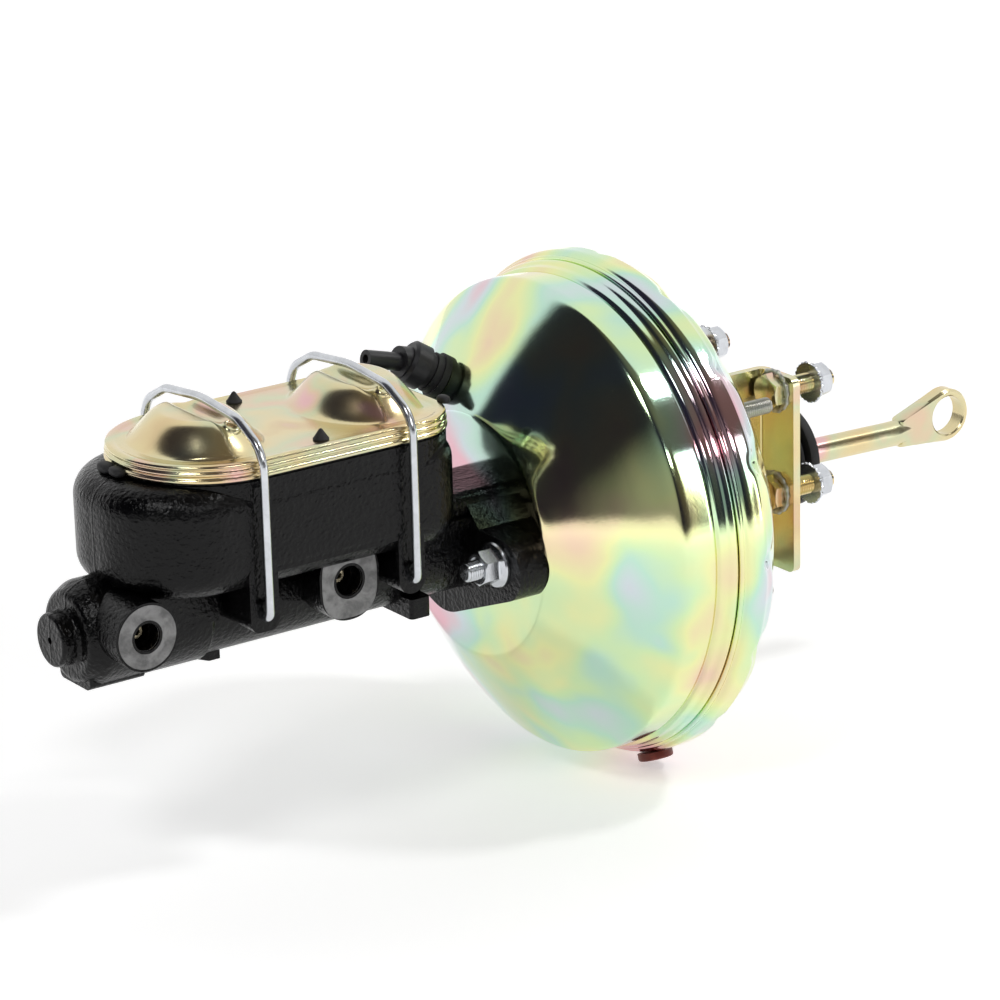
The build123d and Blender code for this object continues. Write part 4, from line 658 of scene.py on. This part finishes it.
outside = np.concatenate([values["cuff"], np.stack([along, radius], -1), values["disc"]])
back = np.stack([along, radius - values["wall"]], -1)[::-1]
inside = np.concatenate([values["discInside"], back, values["cuffInside"]])
loop = np.concatenate([outside, inside])
boot = addPiece("bootFolds", turn(loop[:, 0], loop[:, 1], columns=128), "black_rubber", sharp=50.0)
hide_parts("boot")
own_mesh(boot)
print("boot made")

# Pedal rod: a round rod that flattens, and a plate round the eye. The plate is bounded by the eye's circle,
# by its two tangents from the rod and by the plate's end, and a line's distance at an angle is its least
# distance over the cosine of the angle from its normal
rodValues = {
    "ball": (-34.5, 0.0, 0.0),
    "droop": 1.6,                         # degrees
    "neck": [(0, 0, 0), (0, 4, 4), (12, 4, 4)],   # along, half width sideways, half height
    "shank": [(16, 6.35, 6.35), (134, 6.35, 6.35), (139, 6.2, 6.5), (144, 5.2, 6.7), (149, 4.1, 6.6)],
    "tip": [(151, 3.6, 5.8), (151, 0, 0)],
    "eye": (170.6, 4.8),
    "outside": 13.4,
    "bore": 9.95,
    "end": 30.6,
    "normals": (112.1, 266.6),            # degrees
    "bevel": 1.1,
    "edges": [(0.7, -4.4), (None, -4.4), (None, -3.1), (None, 3.1), (None, 4.4), (0.7, 4.4), (0.0, 3.8),
              (0.0, -3.8)],               # distance from the bore, or the outline, and place sideways
}
values = rodValues
droop = math.radians(values["droop"])
rodWay = np.array([math.cos(droop), 0, -math.sin(droop)])
rodUp = np.array([math.sin(droop), 0, math.cos(droop)])
angle = np.arange(64) * 2 * math.pi / 64
shank = np.array(values["shank"])
along = np.linspace(shank[0, 0], shank[-1, 0], 100)
middle = np.stack([along] + [np.interp(along, shank[:, 0], shank[:, part]) for part in (1, 2)], -1)
table = np.concatenate([values["neck"], middle, values["tip"]])
wide, tall = table[:, 1:2], table[:, 2:3]
radius = wide * tall / np.maximum(np.hypot(tall * np.cos(angle), wide * np.sin(angle)), 0.001)
shapes = [turn(table[:, 0], radius, values["ball"], rodWay, False, 64)]
angle = np.arange(240) * 2 * math.pi / 240
degrees = np.degrees(angle)
reach = np.full(240, 1000.0)
lines = [(normal, values["outside"]) for normal in values["normals"]] + [(180.0, values["end"])]
for normal, distance in lines:
    share = np.cos(np.radians(degrees - normal))
    reach = np.where(share > 0.05, np.minimum(reach, distance / np.maximum(share, 0.05)), reach)
inNeck = (degrees > values["normals"][0]) & (degrees < values["normals"][1])
outline = np.where(inNeck, np.maximum(reach, values["outside"]), values["outside"])
rows = []
for edge, side in values["edges"]:
    inner = values["bevel"] if abs(side) > 4 else 0
    ring = outline - inner if edge is None else values["bore"] + edge
    eyeAlong = values["eye"][0] + ring * np.cos(angle)
    eyeUp = values["eye"][1] + ring * np.sin(angle)
    rows.append(values["ball"] + eyeAlong[:, None] * rodWay + eyeUp[:, None] * rodUp + (0, side, 0))
rows = np.stack(rows)
shapes.append((rows.reshape(-1, 3), gridFaces(len(rows), 240, True)))
pedalRod = addPiece("pedalRodForging", joined(shapes), "yellow_zinc", body="pedal_rod", sharp=35.0)
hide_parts("pedal_rod")
print("pedal rod made")

# Floor, lights, world and camera
floorPaint = Paint("floorPaint", Roughness=0.6, Emission_Strength=1.0)
floorTone = floorPaint.noise(6.0, 2.0, 0.5)
distance = floorPaint.add("ShaderNodeVectorMath", {"operation": "LENGTH"}, [floorPaint.place], out=1)
away = distance.between(0.4, 2.2)
floorPaint.set(Base_Color=floorPaint.mix(floorTone, (0.90, 0.90, 0.90), (0.86, 0.86, 0.87)),
               Emission_Color=floorPaint.mix(away, (0.40, 0.40, 0.40), (0.82, 0.82, 0.82)))
half = 6.0                                # metres
drop = cadLow.z - 0.001
floorCorners = [(-half, -half, drop), (half, -half, drop), (half, half, drop), (-half, half, drop)]
floorMesh = bpy.data.meshes.new("floor")
floorMesh.from_pydata(floorCorners, [], [(0, 1, 2, 3)])
floorMesh.materials.append(floorPaint.material)
floor = bpy.data.objects.new("floor", floorMesh)
bpy.context.scene.collection.objects.link(floor)


# A soft rectangular lamp at spot that shines at aim.
def softbox(name, spot, aim, width, height, power):
    lamp = bpy.data.lights.new(name, "AREA")
    lamp.shape = "RECTANGLE"
    lamp.size = width
    lamp.size_y = height
    lamp.energy = power
    thing = bpy.data.objects.new(name, lamp)
    bpy.context.scene.collection.objects.link(thing)
    thing.location = spot
    thing.rotation_euler = (Vector(aim) - Vector(spot)).to_track_quat("-Z", "Y").to_euler()
    return thing


aim = (-0.12, 0.0, 0.0)
softbox("keyLight", (-1.5, -0.7, 1.7), aim, 0.5, 0.5, 11.0)
softbox("frontLight", (-0.3, -2.2, 1.4), aim, 1.2, 0.25, 10.0)
softbox("rightLight", (1.2, -1.7, 0.5), aim, 0.2, 1.2, 3.0)
softbox("shoulderLight", (1.08, -0.66, 1.66), aim, 0.22, 0.22, 11.0)

# The world is bright behind the object and below the horizon, and dark above it on the camera's side, with a
# glow at the upper right and a sheen at the left. Its bright side is plain white to mirrors, and all of it to
# the camera
world = bpy.data.worlds.new("studio")
bpy.context.scene.world = world
world.use_nodes = True
sky = Tree()
sky.tree = world.node_tree
sky.tree.nodes.clear()
ground = sky.add("ShaderNodeTexCoord")
toward = [sky.add("ShaderNodeSeparateXYZ", {}, [ground], out=part) for part in range(3)]
behind = (toward[1] + toward[0] * 0.75).between(0.18, 0.32)
under = (toward[2] * -1).between(-0.02, 0.06)
bright = behind.calc("MAXIMUM", under)
glow = (toward[0] * 0.54 + toward[1] * -0.33 + toward[2] * 0.77).between(0.35, 1.05)
sheen = (toward[0] * -0.80 + toward[1] * -0.58 + toward[2] * 0.15).between(0.88, 1.0)
dark = sky.mix(glow, (0.022, 0.020, 0.034), (0.17, 0.15, 0.12))
dark = sky.mix(sheen, dark, (0.34, 0.36, 0.34))
tone = sky.mix(bright, dark, (0.84, 0.84, 0.84))
lit = sky.add("ShaderNodeBackground", {}, {"Color": tone})
white = sky.add("ShaderNodeBackground", {}, {"Color": (1.0, 1.0, 1.0)})
seen, mirrored, through = [sky.add("ShaderNodeLightPath", out=name) for name in
                           ("Is Camera Ray", "Is Glossy Ray", "Is Transmission Ray")]
plain = seen.calc("MAXIMUM", through).calc("MAXIMUM", mirrored * bright)
choice = sky.add("ShaderNodeMixShader", {}, [plain, lit, white])
worldEnd = sky.tree.nodes.new("ShaderNodeOutputWorld")
sky.put(choice, worldEnd.inputs["Surface"])

cameraValues = {
    "spot": (-1.24580, -1.58373, 0.66293),
    "right": (0.81407, -0.58023, -0.02468),
    "up": (0.20407, 0.24600, 0.94753),
    "ahead": (0.54372, 0.77640, -0.31867),
    "lens": 157.02,
}
lensData = bpy.data.cameras.new("camera")
lensData.sensor_width = 36.0
lensData.lens = cameraValues["lens"]
lensData.clip_end = 50.0
camera = bpy.data.objects.new("camera", lensData)
bpy.context.scene.collection.objects.link(camera)
back = [-part for part in cameraValues["ahead"]]
axes = Matrix((cameraValues["right"], cameraValues["up"], back)).transposed()
camera.matrix_world = Matrix.Translation(cameraValues["spot"]) @ axes.to_4x4()
bpy.context.scene.camera = camera
bpy.context.scene.view_settings.view_transform = "Standard"
print("studio set")
